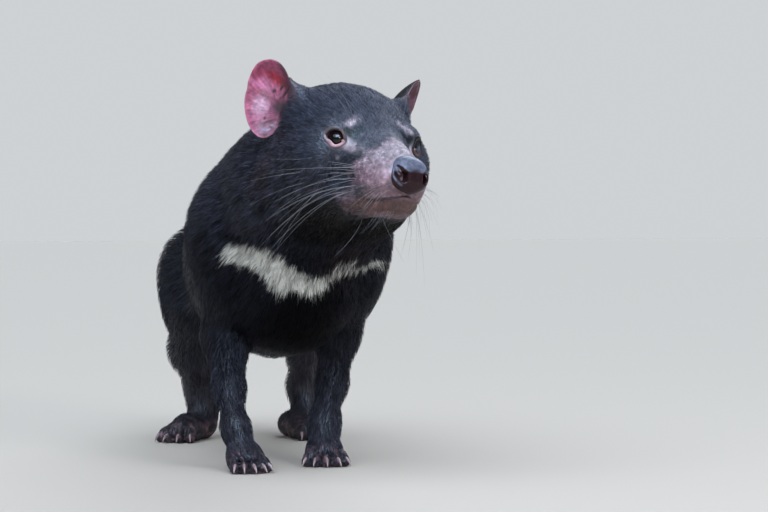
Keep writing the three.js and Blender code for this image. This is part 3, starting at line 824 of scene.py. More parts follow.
def grain_group():
    """The grain of bare skin and horn: a colour multiplied by a ramp of coarse noise, and the bumps of
    pores from a noise four times finer."""
    group = bpy.data.node_groups.new("skin_grain", "ShaderNodeTree")
    for name, way, kind in (("Colour", "INPUT", "Color"), ("Mottling", "INPUT", "Float"),
                            ("Fineness", "INPUT", "Float"), ("Pore Depth", "INPUT", "Float"),
                            ("Colour", "OUTPUT", "Color"), ("Normal", "OUTPUT", "Vector")):
        group.interface.new_socket(name, in_out=way, socket_type="NodeSocket" + kind)
    nodes, links = group.nodes, group.links
    given = nodes.new("NodeGroupInput").outputs
    made = nodes.new("NodeGroupOutput").inputs
    place = nodes.new("ShaderNodeTexCoord")
    coarse = nodes.new("ShaderNodeMath")
    coarse.operation = "MULTIPLY"
    coarse.inputs[1].default_value = 0.25
    links.new(given["Fineness"], coarse.inputs[0])
    mottle = nodes.new("ShaderNodeTexNoise")
    mottle.inputs["Detail"].default_value = 4
    links.new(coarse.outputs["Value"], mottle.inputs["Scale"])
    links.new(place.outputs["Object"], mottle.inputs["Vector"])
    ramp = nodes.new("ShaderNodeValToRGB")
    ramp.color_ramp.elements[0].position = 0.3
    ramp.color_ramp.elements[0].color = (0.45, 0.42, 0.45, 1)
    ramp.color_ramp.elements[1].position = 0.7
    ramp.color_ramp.elements[1].color = (1.35, 1.3, 1.3, 1)
    links.new(mottle.outputs["Fac"], ramp.inputs["Fac"])
    vary = nodes.new("ShaderNodeMix")
    vary.data_type = "RGBA"
    vary.blend_type = "MULTIPLY"
    links.new(given["Mottling"], vary.inputs["Factor"])
    links.new(given["Colour"], vary.inputs["A"])
    links.new(ramp.outputs["Color"], vary.inputs["B"])
    links.new(vary.outputs["Result"], made["Colour"])
    pores = nodes.new("ShaderNodeTexNoise")
    pores.inputs["Detail"].default_value = 3
    links.new(given["Fineness"], pores.inputs["Scale"])
    links.new(place.outputs["Object"], pores.inputs["Vector"])
    bump = nodes.new("ShaderNodeBump")
    bump.inputs["Strength"].default_value = 0.8
    links.new(given["Pore Depth"], bump.inputs["Distance"])
    links.new(pores.outputs["Fac"], bump.inputs["Height"])
    links.new(bump.outputs["Normal"], made["Normal"])
    return group


skin_grain = grain_group()


def surface_material(name, roughness, fineness, pore_depth, base=None, coat=0.0, coat_roughness=0.1,
                     coat_index=1.5, specular=0.5, mottling=0.45):
    """A bare surface: a base colour, or else the colour of the piece's
    pelt attribute, with the skin's grain."""
    material = bpy.data.materials.new(name)
    material.use_nodes = True
    nodes, links = material.node_tree.nodes, material.node_tree.links
    shader = nodes["Principled BSDF"]
    grain = nodes.new("ShaderNodeGroup")
    grain.node_tree = skin_grain
    grain.inputs["Mottling"].default_value = mottling
    grain.inputs["Fineness"].default_value = fineness
    grain.inputs["Pore Depth"].default_value = pore_depth
    if base is None:
        source = nodes.new("ShaderNodeAttribute")
        source.attribute_name = "pelt"
        links.new(source.outputs["Color"], grain.inputs["Colour"])
    else:
        grain.inputs["Colour"].default_value = (*base, 1)
    links.new(grain.outputs["Colour"], shader.inputs["Base Color"])
    links.new(grain.outputs["Normal"], shader.inputs["Normal"])
    shader.inputs["Roughness"].default_value = roughness
    shader.inputs["Specular IOR Level"].default_value = specular
    shader.inputs["Coat Weight"].default_value = coat
    shader.inputs["Coat Roughness"].default_value = coat_roughness
    shader.inputs["Coat IOR"].default_value = coat_index
    return material


skin = new_piece("skin", skin_points, skin_faces, colours=skin_colours)
skin.data.materials.append(surface_material("hide", 0.5, 900, 0.0003))
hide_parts("torso", "neck", "head", "tail", "upper_arm_left", "upper_arm_right", "forearm_left",
            "forearm_right", "forepaw_left", "forepaw_right", "thigh_left", "thigh_right", "shank_left",
            "shank_right", "hindfoot_left", "hindfoot_right")

# Eyes
# Each eye is a dark wet ball: a deep brown iris round a wide black pupil, under a clear domed front.
IRIS_RADIUS = 5.0
PUPIL_RADIUS = 3.3
IRIS_BROWN = np.array([0.026, 0.008, 0.009])
EYE_WHITE = np.array([0.030, 0.014, 0.015])
PUPIL_BLACK = np.array([0.002, 0.002, 0.002])


def ball_grid(rows, sides):
    """A whole ball of radius 1 as a grid: polar angle down the rows, turn
    across, with its pole ahead along +Z."""
    polar = np.linspace(0, math.pi, rows + 1)[1:-1, None]
    turn = np.linspace(0, 2 * math.pi, sides, endpoint=False)[None]
    x, y, z = np.sin(polar) * np.cos(turn), np.sin(polar) * np.sin(turn), np.cos(polar) + 0 * turn
    ring = np.stack([x, y, z], -1)
    points = np.concatenate([[[0, 0, 1.0]], ring.reshape(-1, 3), [[0, 0, -1.0]]])
    return points, *capped_faces(rows - 1, sides)


def capped_faces(rings, sides):
    """Faces of a tube of rings that is closed by a first and a last point."""
    j = np.arange(sides)
    k = (j + 1) % sides
    starts = 1 + sides * np.arange(rings - 1)[:, None]
    quads = np.stack([starts + j, starts + sides + j, starts + sides + k, starts + k], -1).reshape(-1, 4)
    first = np.stack([np.zeros(sides, int), 1 + j, 1 + k], -1)
    last = 1 + sides * (rings - 1)
    end = np.stack([np.full(sides, last + sides), last + k, last + j], -1)
    return quads, np.concatenate([first, end])


for name, s in (("eye_left", 1), ("eye_right", -1)):
    centre, across, up, ahead = eye_frame(s)
    ball, quads, caps = ball_grid(48, 64)
    off_axis = np.hypot(ball[:, 0], ball[:, 1]) * EYE_RADIUS
    bulge = 1 + 0.05 * smooth(ball[:, 2], 0.72, 1.0)
    local = ball * (EYE_RADIUS * bulge)[:, None]
    points = from_head(centre + local @ np.array([s * across, up, ahead]))
    iris = IRIS_BROWN * (0.6 + 0.8 * smooth(off_axis, 2.5, 4.5))[:, None]
    colours = tinted(iris, EYE_WHITE, smooth(off_axis, IRIS_RADIUS, IRIS_RADIUS + 0.8))
    pupil = smooth(-off_axis, -PUPIL_RADIUS - 0.7, -PUPIL_RADIUS) * (ball[:, 2] > 0)
    colours = tinted(colours, PUPIL_BLACK, pupil)
    eye = new_piece(name + "_ball", points, quads, caps, colours=colours)
    glaze = surface_material(name + "_glaze", 0.2, 400, 0.0, coat=1.0, coat_roughness=0.03, coat_index=1.45,
                             specular=0.03)
    eye.data.materials.append(glaze)
    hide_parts(name)

# Lids
# A roll of bare skin edges each eye's opening. It is broad, wet and pink below, greyer above, and a
# small fleshy lump fills the inner corner.


def almond_edge(count):
    """Points round the almond, over the top from the outer corner to the inner one and back below."""
    half = ALMOND[1] / 2
    radius = (ALMOND[0] ** 2 / 4 + half**2) / (2 * half)
    turn = np.linspace(0, 2 * math.pi, count, endpoint=False)
    x = np.cos(turn) * (ALMOND[0] / 2 - 0.1)
    y = np.sqrt(radius**2 - x**2) - (radius - half)
    return x, y * np.sign(np.sin(turn))


def joined(parts):
    """Meshes given as (points, faces, ...) put together: all their
    points, and each kind of face renumbered."""
    starts = np.cumsum([0] + [len(part[0]) for part in parts[:-1]])
    kinds = [np.concatenate([part[k] + start for part, start in zip(parts, starts)])
             for k in range(1, len(parts[0]))]
    return np.concatenate([part[0] for part in parts]), *kinds


RIM_STEPS = 120
RIM_SIDES = 12
LID_PINK = np.array([0.62, 0.41, 0.48])
LID_OUTER = np.array([0.200, 0.130, 0.155])
LID_UPPER = np.array([0.100, 0.083, 0.093])
CORNER_PINK = (0.50, 0.30, 0.34)
rims, rim_colours, lumps = [], [], []
for s in BOTH:
    centre, across, up, ahead = eye_frame(s)
    axes = np.array([s * across, up, ahead])
    x, y = almond_edge(RIM_STEPS)
    lower = smooth(-y - 0.15 * np.maximum(s * x - 3, 0), -0.8, 1.6)
    outer = lower * smooth(s * x, -3, 3) * (1 - smooth(s * x, 3.5, 7.7))
    spread = 1 + (1.2 - 1.3 * outer) / np.hypot(x, y)
    flat = np.stack([x * spread, y * spread, np.full(RIM_STEPS, 8.5)], -1)
    path = from_head(centre + flat @ axes)
    for pass_number in range(8):
        path, outward = settled(path, lidded)
    path = (to_head(path) - centre) @ axes.T
    outward = outward @ HEAD_TURN @ axes.T
    along = unit(np.roll(path, -1, 0) - np.roll(path, 1, 0))
    wide = unit(np.cross(along, outward))
    turn = np.linspace(0, 2 * math.pi, RIM_SIDES, endpoint=False)
    width = (1.45 + 0.7 * outer)[:, None, None]
    height = (0.7 + 0.1 * lower - 0.15 * outer)[:, None, None]
    ring = path[:, None] + height * np.cos(turn)[None, :, None] * outward[:, None]
    ring = ring + width * np.sin(turn)[None, :, None] * wide[:, None]
    i, j = np.meshgrid(np.arange(RIM_STEPS), np.arange(RIM_SIDES), indexing="ij")
    at = lambda a, b: (a % RIM_STEPS) * RIM_SIDES + b % RIM_SIDES
    quads = np.stack([at(i, j), at(i, j + 1), at(i + 1, j + 1), at(i + 1, j)], -1).reshape(-1, 4)
    rims.append((from_head(centre + ring.reshape(-1, 3) @ axes), quads))
    inner_edge = smooth(-np.sin(turn), -0.7, 0.5)[None]
    pink = tinted(LID_OUTER, LID_PINK, inner_edge) * (1 - 0.55 * smooth(s * x, 0, 6))[:, None, None]
    # Painted shade: the far (left) eye's rim is darkened to a fifth of its colour
    rim_colour = tinted(LID_UPPER, pink, lower[:, None]) * (0.2 if s > 0 else 1.0)
    rim_colours.append(rim_colour.reshape(-1, 3))
    ball, quads, caps = ball_grid(12, 16)
    inner = np.array([-s * (ALMOND[0] / 2 - 1.5), -0.6, 6.6])
    lumps.append((from_head(centre + (ball * (1.3, 1.1, 1.1) + inner) @ axes), quads, caps))
rim_points, rim_quads = joined(rims)
lids = new_piece("lid_rims", rim_points, rim_quads, colours=np.concatenate(rim_colours))
lids.data.materials.append(surface_material("wet_rim", 0.35, 900, 0.0001, coat=0.2, specular=0.15))
corners = new_piece("lid_corners", *joined(lumps))
corners.data.materials.append(surface_material("wet_corner", 0.3, 900, 0.0001, base=CORNER_PINK, coat=0.8))

# Nose
# A moist, nearly black pad of pebbled bare skin, flat on top, with two
# comma-shaped nostrils that curl out to the sides. The top that faces up is painted
# blue-grey as a reflection of the sky, and a painted highlight runs along each nostril's outer rim.
nose_parts = melt(5, [
    egg((0, -103.5, -19.5), (12.2, 10.2, 7.0), pitch=24),
    egg((0, -107.5, -31.5), (9.2, 6.8, 9.5)),
    *[egg((s * 7.8, -105.8, -28), (7.4, 7.8, 9.6)) for s in BOTH],
])
nostril_parts = melt(2, [
    *[limb((s * 9.8, -119, -27), 2.4, (s * 7.6, -106, -26.5), 1.8) for s in BOTH],
    *[limb((s * 10.3, -119, -31), 2.9, (s * 8, -106, -29.5), 2.2) for s in BOTH],
    *[limb((s * 10.2, -116, -28), 2.2, (s * 12.2, -112, -23.8), 1.7) for s in BOTH],
    *[limb((s * 12.2, -112, -23.8), 1.7, (s * 13.0, -108.5, -21.4), 1.0) for s in BOTH],
])
# The path of the painted highlight along each nostril's outer rim
ALAR_RIM = [(14.2, -105.3, -22.5), (15.7, -106.4, -27.9), (13.7, -110.2, -32.9), (10.8, -111.5, -35.2)]


def nose_shape(q):
    """The pad, less the nostrils, with a rounded edge where they meet."""
    return carved(nose_parts[0](q), nostril_parts[0](q), 1.6)


NOSE_STEP = 0.62
NOSE_LOW = np.array([-19, -120, -46])
NOSE_SPAN = np.array([38, 29, 36])
counts = (NOSE_SPAN / NOSE_STEP).astype(int)
grid = np.stack(np.meshgrid(*[np.arange(n) for n in counts], indexing="ij"), -1)
on_grid = lambda index: NOSE_LOW + index * NOSE_STEP
nose_values = nose_shape(on_grid(grid).astype(np.float32))
nose_points, nose_faces = surface_net(nose_values, on_grid)
nose_points, nose_outward = settled(nose_points, nose_shape)
depth_in = -(nostril_parts[0](nose_points.astype(np.float32)))
NOSE_SKY_REFLECTION = np.array([0.150, 0.172, 0.255])
NOSE_FRONT = np.array([0.024, 0.008, 0.012])
NOSTRIL = np.array([0.035, 0.010, 0.011])
patchy = wander(nose_points, 2.2, 31)[:, 0] + 0.6 * wander(nose_points, 1.0, 32)[:, 0]
nose_side = folded(nose_points)
# Painted reflection: above a wavy line, where the pad faces up, it takes the sky's blue-grey, brighter in
# patches
top = smooth(nose_points[:, 2] + 0.5 * patchy, -25.4, -23.6) * smooth(nose_outward[:, 2], 0.0, 0.3)
# Painted highlight: a bright C along each nostril's outer rim, brightest at its middle
alar_highlight = np.maximum.reduce([streak(nose_side, a, b, 0.9, 1.1) for a, b in zip(ALAR_RIM, ALAR_RIM[1:])])
nose_colours = np.broadcast_to(NOSE_FRONT, nose_points.shape)
nose_colours = tinted(nose_colours, NOSE_SKY_REFLECTION, np.clip(top + 0.9 * alar_highlight, 0, 1))
nose_colours = tinted(nose_colours, NOSE_SKY_REFLECTION * 2.2, smooth(alar_highlight, 0.6, 1.0))
nose_colours = nose_colours * (1 + 0.3 * patchy * top)[:, None]
nose_colours = tinted(nose_colours, NOSTRIL, smooth(depth_in, -0.6, 0.4))
nose = new_piece("nose_pad", from_head(nose_points), nose_faces, colours=nose_colours)
nose.data.materials.append(surface_material("wet_nose", 0.4, 1500, 0.00025, coat=0.3, coat_roughness=0.12,
                                            specular=0.08))
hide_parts("nose")

# Ears
# Each ear is a thin oval cup of bare pink skin. Fine ribs run out to its rim, folds ring the canal, and the
# back and the inner margin are dark and thinly haired.
EAR_ROWS = 48
EAR_SIDES = 160


def ear_cup(turn, along):
    """A point of the cup in the ear's own directions: a curve from the canal, out by way of
    a control point behind the cup, to the oval rim, which is notched on its outer side,
    fuller above the notch and flatter below."""
    notch = 1 - 0.045 * np.exp(-(((turn - 0.24) / 0.13) ** 2)) + 0.045 * np.exp(-(((turn - 0.95) / 0.3) ** 2))
    notch = notch - 0.07 * np.exp(-(((turn - 4.25) / 0.4) ** 2))
    rim = np.stack([EAR_HALF[0] * np.cos(turn) * notch, EAR_HALF[1] * np.sin(turn) * notch, 0 * turn], -1)
    control = EAR_CANAL + (rim - EAR_CANAL) * 0.62 + np.array([0, 0, 0.85 * EAR_DEPTH])
    t = along[..., None]
    return EAR_CANAL * (1 - t) ** 2 + control * 2 * t * (1 - t) + rim * t**2


def ear_point(cup, s, offset):
    """A point of the cup in the head's frame, pushed out from a focus in front of the cup."""
    place = EAR_MIDDLE + cup @ EAR_FRAME
    out = unit(place - (EAR_MIDDLE - 25 * EAR_BEHIND))
    return (place + out * offset[..., None]) * (s, 1, 1)


def bump_at(cup, a, r, wide, tall, tilt=0.0):
    """1 at a place in the ear, falling away over a width and a height turned by an angle in degrees."""
    c, w = math.cos(math.radians(tilt)), math.sin(math.radians(tilt))
    x, y = cup[..., 0] - a, cup[..., 1] - r
    return np.exp(-(((x * c + y * w) / wide) ** 2) - (((y * c - x * w) / tall) ** 2))


# Places in the ear (outwards, up, width, height, tilt), with how far each stands
# out of the cup, its colour, and its share
EAR_FOLDS = [
    (8.0, 12.5, 6.5, 5.0, 10, 0.8, (0.78, 0.285, 0.53), 0.9),
    (-4.0, 16.0, 10.5, 4.2, 30, -0.9, (0.52, 0.028, 0.068), 0.95),
    (-9.5, 13.0, 4.5, 3.5, 30, -0.3, (0.22, 0.030, 0.050), 0.85),
    (12.5, 20.0, 4.0, 6.0, -35, 0.0, (0.38, 0.075, 0.140), 0.8),
    (3.5, 7.5, 5.5, 1.5, 35, 0.9, (0.72, 0.330, 0.540), 0.8),
    (5.5, 3.8, 11.0, 2.2, 25, 1.5, (0.36, 0.085, 0.140), 0.9),
    (7.4, -5.5, 7.0, 9.0, 0, 1.2, (0.88, 0.560, 0.800), 0.98),
    (15.5, 0.0, 2.5, 14.0, 0, 0.0, (0.60, 0.200, 0.330), 0.7),
    (0.5, -7.0, 1.3, 6.5, 0, 0.9, (0.46, 0.200, 0.330), 0.7),
    (-4.5, -6.0, 4.0, 6.0, 0, -0.4, (0.160, 0.085, 0.140), 0.85),
    (-11.0, -7.0, 7.0, 8.0, 20, -0.8, (0.045, 0.036, 0.050), 0.95),
    (-10.5, 7.0, 1.3, 8.5, 35, 0.9, (0.30, 0.130, 0.190), 0.7),
    (-13.0, 8.0, 1.0, 7.0, 35, -0.6, (0.030, 0.016, 0.022), 0.9),
    (-1.8, 6.8, 1.6, 1.8, 0, 0.4, (0.020, 0.010, 0.016), 0.9),
    (-7.3, 9.3, 1.0, 2.6, 35, 0.4, (0.014, 0.006, 0.010), 0.95),
    (-5.0, 1.0, 4.5, 1.0, -20, 0.6, (0.30, 0.120, 0.180), 0.6),
    (0.5, -17.5, 4.5, 1.2, -25, 0.6, (0.20, 0.085, 0.105), 0.7),
    (4.0, -15.5, 0.9, 1.3, 0, 0.2, (0.060, 0.025, 0.035), 0.8),
    (-2.5, -22.0, 3.5, 1.4, 25, 0.5, (0.24, 0.110, 0.130), 0.6),
    (1.0, -29.5, 3.0, 2.0, 0, 0.2, (0.26, 0.110, 0.120), 0.8),
]
EAR_PINK = np.array([0.60, 0.190, 0.350])
EAR_TOP = np.array([0.40, 0.092, 0.185])
EAR_LOW = np.array([0.43, 0.225, 0.320])
EAR_DUSK = np.array([0.016, 0.012, 0.017])

for name, s in (("ear_left", 1), ("ear_right", -1)):
    step = np.concatenate([np.linspace(0.04, 1, EAR_ROWS), np.linspace(1, 0.04, EAR_ROWS)])
    outer = np.repeat([0.0, 1.0], EAR_ROWS)
    along, turn = np.meshgrid(step, np.linspace(0, 2 * math.pi, EAR_SIDES, endpoint=False), indexing="ij")
    behind = np.repeat(outer[:, None], EAR_SIDES, 1)
    cup = ear_cup(turn, along)
    lateral = smooth(np.cos(turn + 0.3), 0.0, 0.6)
    ribs = np.sin(turn * 56 + 3 * np.sin(turn * 5)) * smooth(along, 0.55, 0.8)
    ribs = ribs * (1 - smooth(along, 0.93, 1)) * lateral
    tint = tinted(np.broadcast_to(EAR_PINK, cup.shape), EAR_TOP, smooth(cup[..., 1], 12, 23))
    tint = tinted(tint, EAR_LOW, smooth(-cup[..., 1], 11, 20) * smooth(-cup[..., 0], -14, -5))
    tint = tinted(tint, EAR_PINK * 1.15, 0.8 * smooth(along, 0.9, 0.98) * lateral)
    relief = 0.14 * ribs + 0.3 * np.exp(-(((along - 0.95) / 0.035) ** 2))
    for a, r, wide, tall, tilt, rise, colour, share in EAR_FOLDS:
        place = bump_at(cup, a, r, wide, tall, tilt)
        relief = relief + rise * place
        tint = tinted(tint, np.array(colour), share * smooth(place, 0.0, 0.9))
    spot = cup.reshape(-1, 3) + 50 * s
    rays = np.stack([np.cos(turn) * 9, np.sin(turn) * 12, along * 4 + 50 * s], -1).reshape(-1, 3)
    rough = (0.7 * wander(spot, 1.8, 21)[:, 0] + 1.1 * wander(rays, 0.8, 22)[:, 0]).reshape(along.shape)
    tint = tint * np.exp(0.12 * ribs + 0.30 * rough)[..., None]
    # Painted shade: inside the far (left) ear the colours are darkened, to three quarters at the bottom and a
    # quarter at the top
    if s > 0:
        tint = tint * (0.75 - 0.5 * smooth(cup[..., 1], -12, 10))[..., None]
    medial = -cup[..., 0] + 0.25 * cup[..., 1] + 2 * rough
    margin = smooth(medial, 11, 15.5) * smooth(cup[..., 1], -16, -8)
    tint = tinted(tint, EAR_MARGIN, 0.85 * margin)
    tint = tinted(tint, EAR_DUSK * 0.7, behind * smooth(-along, -1.0, -0.9))
    thickness = 0.8 + 1.6 * (1 - along) ** 0.7
    points = ear_point(cup, s, behind * thickness - (1 - behind) * relief)
    start, end = [ear_point(ear_cup(np.zeros(1), np.zeros(1)), s, np.full(1, depth)) for depth in (0, 2.4)]
    quads, caps = capped_faces(2 * EAR_ROWS, EAR_SIDES)
    if s < 0:
        quads, caps = quads[:, ::-1], caps[:, ::-1]
    all_points = from_head(np.concatenate([start, points.reshape(-1, 3), end]))
    tints = np.concatenate([[EAR_DUSK], tint.reshape(-1, 3), [EAR_DUSK]])
    piece = new_piece(name + "_shell", all_points, quads, caps, colours=tints)
    piece.data.materials.append(surface_material(name + "_skin", 0.42, 1300, 0.0003, coat=0.12))
    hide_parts(name)

# Lips
# The dark edge of the lips, with painted shade of the shut mouth's crease, shows along the right half of the
# shut mouth. It is a thin tube on the mouth's line that dies away towards the corner.


def tube(path, radii, sides):
    """A closed tube round a path, with a radius at each point but the first
    and last, where it comes to a point."""
    along = unit(np.gradient(path, axis=0))
    side = unit(np.cross(along, [0.0, 0.13, 1.0]))
    up = np.cross(side, along)
    turn = np.linspace(0, 2 * math.pi, sides, endpoint=False)[None, :, None]
    ring = path[:, None] + radii[:, None, None] * (np.cos(turn) * side[:, None] + np.sin(turn) * up[:, None])
    points = np.concatenate([path[:1], ring[1:-1].reshape(-1, 3), path[-1:]])
    return points, *capped_faces(len(path) - 2, sides)


lip_radii = 0.45 * smooth(-mouth_line[:, 1], 78, 96) * smooth(-mouth_line[:, 0], -8, -2) + 0.02
lips = new_piece("lips", *tube(from_head(mouth_line), lip_radii, 8))
lips.data.materials.append(surface_material("lip_edge", 0.45, 900, 0.0002, base=(0.020, 0.010, 0.011)))

# Claws
# A curved horn claw stands at the end of each toe: pale pink-ivory, deeper
# than wide, and drawn out to a blunt point.
CLAW_ROWS = 12
CLAW_SIDES = 12
claw_meshes = []
for leg in legs.values():
    for line in toe_lines(**leg["paw"]):
        stride = leg["paw"]["stride"]
        root, bend, tip = line(stride - 1, 6.0), line(stride + 6, 7.6), line(stride + 9.8, 0.8)
        t = np.linspace(0, 1, CLAW_ROWS + 1)[:-1, None]
        path = root * (1 - t) ** 2 + 2 * t * (1 - t) * bend + t**2 * tip
        along = unit((1 - t) * (bend - root) + t * (tip - bend))
        side = unit(np.cross(along, [0, 0, 1.0]))
        up = np.cross(side, along)
        radius = (2.05 * (1 - t**1.6) + 0.25)[:, :, None]
        turn = np.linspace(0, 2 * math.pi, CLAW_SIDES, endpoint=False)[None, :, None]
        ring = path[:, None] + radius * (0.72 * np.cos(turn) * side[:, None] + np.sin(turn) * up[:, None])
        points = np.concatenate([[root], ring.reshape(-1, 3), [tip]])
        claw_meshes.append((points, *capped_faces(CLAW_ROWS, CLAW_SIDES)))
claws = new_piece("claws", *joined(claw_meshes))
claws.data.materials.append(surface_material("horn", 0.35, 500, 0.0002, base=(0.40, 0.29, 0.31), coat=0.3))

# Coat
# Short dense guard hair grows backwards from the nose over the whole animal, longer on the neck, back and
# tail and shortest on the face and feet. Each tuft is a thin three-sided blade, rooted in the hide, that
# rises, bends over and ends in a point at the coat's surface.
NECK_TOP = from_head((0, 18, -20))
NECK_TOP_FACING = np.array([0, -1, 0.2]) @ HEAD_TURN.T
TUFT_ROWS = 2
corner_points = skin_points[skin_faces]
face_centres = corner_points.mean(1)
diagonals = corner_points[:, 2] - corner_points[:, 0], corner_points[:, 3] - corner_points[:, 1]
face_areas = np.linalg.norm(np.cross(*diagonals), axis=1) / 2
face_outward = unit(skin_outward[skin_faces].mean(1))
# The part that each face belongs to: 0 the trunk, 1 the tail, and the legs in their order from 2 up
part_distances = [in_batches(trunk_form[0], face_centres), in_batches(tail_form[0], face_centres)]
for name in legs:
    part_distances.append(np.minimum(in_batches(leg_forms[name][0], face_centres) + 2,
                                     in_batches(paw_forms[name][0], face_centres)))
face_part = np.argmin(part_distances, 0)
on_head = ((face_centres - NECK_TOP) @ NECK_TOP_FACING > 0) & (face_centres[:, 2] > 150)
face_head = to_head(face_centres)


def bare_faces():
    """Faces that grow no coat: the eyes' openings, the ear cups, the
    mouth, under the nose pad, and the soles."""
    bare = face_centres[:, 2] < 1.5
    for s in BOTH:
        almond, ahead = almond_distance(face_head, s, 1.9)
        bare |= (almond < 0) & (ahead > 2)
    bare |= np.abs(ear_hollow(face_head) - 0.8) < 0.7
    bare |= mouth_form[0](face_centres.astype(np.float32)) < 0.2
    bare |= nose_parts[0](face_head.astype(np.float32)) < 0.8
    return bare


face_bare = bare_faces()


def leg_lie(p, balls):
    """Down the nearest stretch of a leg, weighted by how close each stretch is."""
    total = np.zeros(p.shape)
    for (a, ra), (b, rb) in zip(balls, balls[1:]):
        distance = limb(a, ra, b, rb)[0](p.astype(np.float32))
        total += unit(np.array(b, float) - a) * np.exp(-np.clip(distance, -20, 60) / 5)[:, None]
    return unit(total)


def lie_of(p, part):
    """Which way the coat lies: back from the nose and round the eyes on the head, back and down on the
    trunk, down the legs and along the tail."""
    q = to_head(p)
    lie = np.tile(np.array([-0.08, 0.86, -0.50]), (len(p), 1))
    lie[:, 2] -= 0.25 * smooth(-p[:, 1], 20, 60) * smooth(-p[:, 2], -210, -150)
    if part == "head":
        local = np.tile(np.array([0.0, 1.0, 0.0]), (len(p), 1))
        local[:, 2] -= 0.55 * smooth(-q[:, 2], 5, 45)
        local[:, 0] += 0.25 * np.sign(q[:, 0]) * smooth(np.abs(q[:, 0]), 4, 30) * smooth(-q[:, 1], 40, 80)
        for s in BOTH:
            away = q - EYE_SEAT * (s, 1, 1) - np.array([-s * 4, -8, 0])
            weight = 1.5 * np.exp(-((np.linalg.norm(away, axis=1) / 14) ** 2))
            local += unit(away) * weight[:, None]
        lie = local @ HEAD_TURN.T
    elif part == "tail":
        lie = leg_lie(p, tail_balls)
    elif part in legs:
        balls = legs[part]["balls"]
        lie = leg_lie(p, balls)
        paw = legs[part]["paw"]
        ahead = turned(math.radians(paw["heading"]), 0, 0) @ np.array([0, -1, -0.35])
        lie += (ahead - lie) * smooth(-p[:, 2], -26, -16)[:, None]
        lie[:, 1] += 0.35 * smooth(p[:, 2], 40, 120)
    return lie


def tuft_sizes(p, part):
    """Length and width of the tufts in millimetres."""
    q = to_head(p)
    if part == "head":
        length = np.interp(q[:, 1], [-105, -88, -68, -50, -25, 15], [1.7, 2.3, 3.6, 5.5, 7.5, 11])
        length *= 1 + 0.45 * smooth(-q[:, 2], 20, 50) * smooth(q[:, 1], -70, -40)
        side = folded(q)
        length *= 1 - 0.7 * np.exp(-((np.linalg.norm(side - EYE_SEAT, axis=1) / 13) ** 2))
        length *= 1 - 0.8 * np.exp(-((np.linalg.norm(side - (51, -10, 38), axis=1) / 17) ** 2))
        return length, np.interp(length, [1.5, 4, 9], [0.20, 0.34, 0.50])
    if part in legs:
        length = np.interp(p[:, 2], [4, 14, 30, 60, 120, 190], [3.4, 5.0, 8, 11, 15, 18])
        return length, np.interp(p[:, 2], [4, 30, 120], [0.42, 0.52, 0.66])
    if part == "tail":
        return np.full(len(p), 21.0), np.full(len(p), 0.75)
    length = 18 + 4 * smooth(p[:, 1], 0, 120) - 4 * smooth(-p[:, 2], -120, -95)
    length *= 1 - 0.25 * smooth(-q[:, 1], -50, 0) * smooth(q[:, 2], -60, -20)
    return length, np.full(len(p), 0.70)


def tufts(name, roots, outward, lie, length, width, height, colours, unwrap, seed, material):
    """Blades as one mesh. A blade's line leaves its root steeply and bends over until it lies level at
    its tip, at the given height but no higher than the coat's surface, and its section is a low
    triangle that narrows as 1 - t to the 1.6."""
    rng = np.random.default_rng(seed)
    count = len(roots)
    lie = unit(lie - outward * (lie * outward).sum(1, keepdims=True))
    side = np.cross(lie, outward)
    slope = np.arcsin(np.clip(2 * height / length, 0.12, 0.85))[:, None]
    t = np.linspace(0, 1, TUFT_ROWS + 1)[None, :, None]
    ahead = (lie * np.cos(slope) * length[:, None])[:, None]
    rise = (outward * np.sin(slope) * length[:, None])[:, None]
    path = (roots - 0.5 * outward)[:, None] + t * ahead + (t - 0.5 * t * t) * rise
    above = np.clip(in_batches(hide_form[0], path[:, -1]) - 0.3, 0, None)
    path -= t**1.5 * (above[:, None] * outward)[:, None]
    twist = rng.normal(0, 0.5, (count, 1))
    across = side * np.cos(twist) + outward * np.sin(twist)
    ridge = outward * np.cos(twist) - side * np.sin(twist)
    half = (width[:, None] / 2 * (1 - t[0, :-1, 0] ** 1.6))[:, :, None]
    rings = np.stack([path[:, :-1] - half * across[:, None], path[:, :-1] + 0.6 * half * ridge[:, None],
                      path[:, :-1] + half * across[:, None]], 2)
    points = np.concatenate([rings.reshape(count, -1, 3), path[:, -1:]], 1)
    first = np.arange(count)[:, None, None] * (3 * TUFT_ROWS + 1)
    last = 3 * TUFT_ROWS
    quads = [[3 * i + j, 3 * i + (j + 1) % 3, 3 * i + 3 + (j + 1) % 3, 3 * i + 3 + j]
             for i in range(TUFT_ROWS - 1) for j in range(3)]
    caps = [[last - 3 + j, last - 3 + (j + 1) % 3, last] for j in range(3)] + [[2, 1, 0]]
    faces = [(first + np.array(kind)).reshape(-1, len(kind[0])) for kind in (quads, caps)]
    share = np.append(np.repeat(np.arange(TUFT_ROWS) / TUFT_ROWS, 3), 1.0)
    tints = colours[:, None] * (0.72 + 0.5 * share)[None, :, None]
    patch = np.stack([np.append(np.tile([-0.5, 0, 0.5], TUFT_ROWS), 0), share - 0.5], -1) * 0.003
    bake = np.clip(unwrap, 0.004, 0.996)[:, None] + patch[None]
    piece = new_piece(name, points.reshape(-1, 3), *faces, colours=tints.reshape(-1, 3),
                      bake=bake.reshape(-1, 2))
    piece.data.materials.append(material)


def hair_material(name, roughness, specular):
    """Guard hair: the pelt's colour, with a glossy face that catches the light along each tuft; the gloss is
    tinted blue, a painted sky colour in its reflections.
    """
    material = bpy.data.materials.new(name)
    material.use_nodes = True
    shader = material.node_tree.nodes["Principled BSDF"]
    source = material.node_tree.nodes.new("ShaderNodeAttribute")
    source.attribute_name = "pelt"
    material.node_tree.links.new(source.outputs["Color"], shader.inputs["Base Color"])
    shader.inputs["Roughness"].default_value = roughness
    shader.inputs["Specular IOR Level"].default_value = specular
    # Painted sky colour: the gloss is tinted blue
    shader.inputs["Specular Tint"].default_value = (0.76, 0.82, 1.0, 1)
    return material


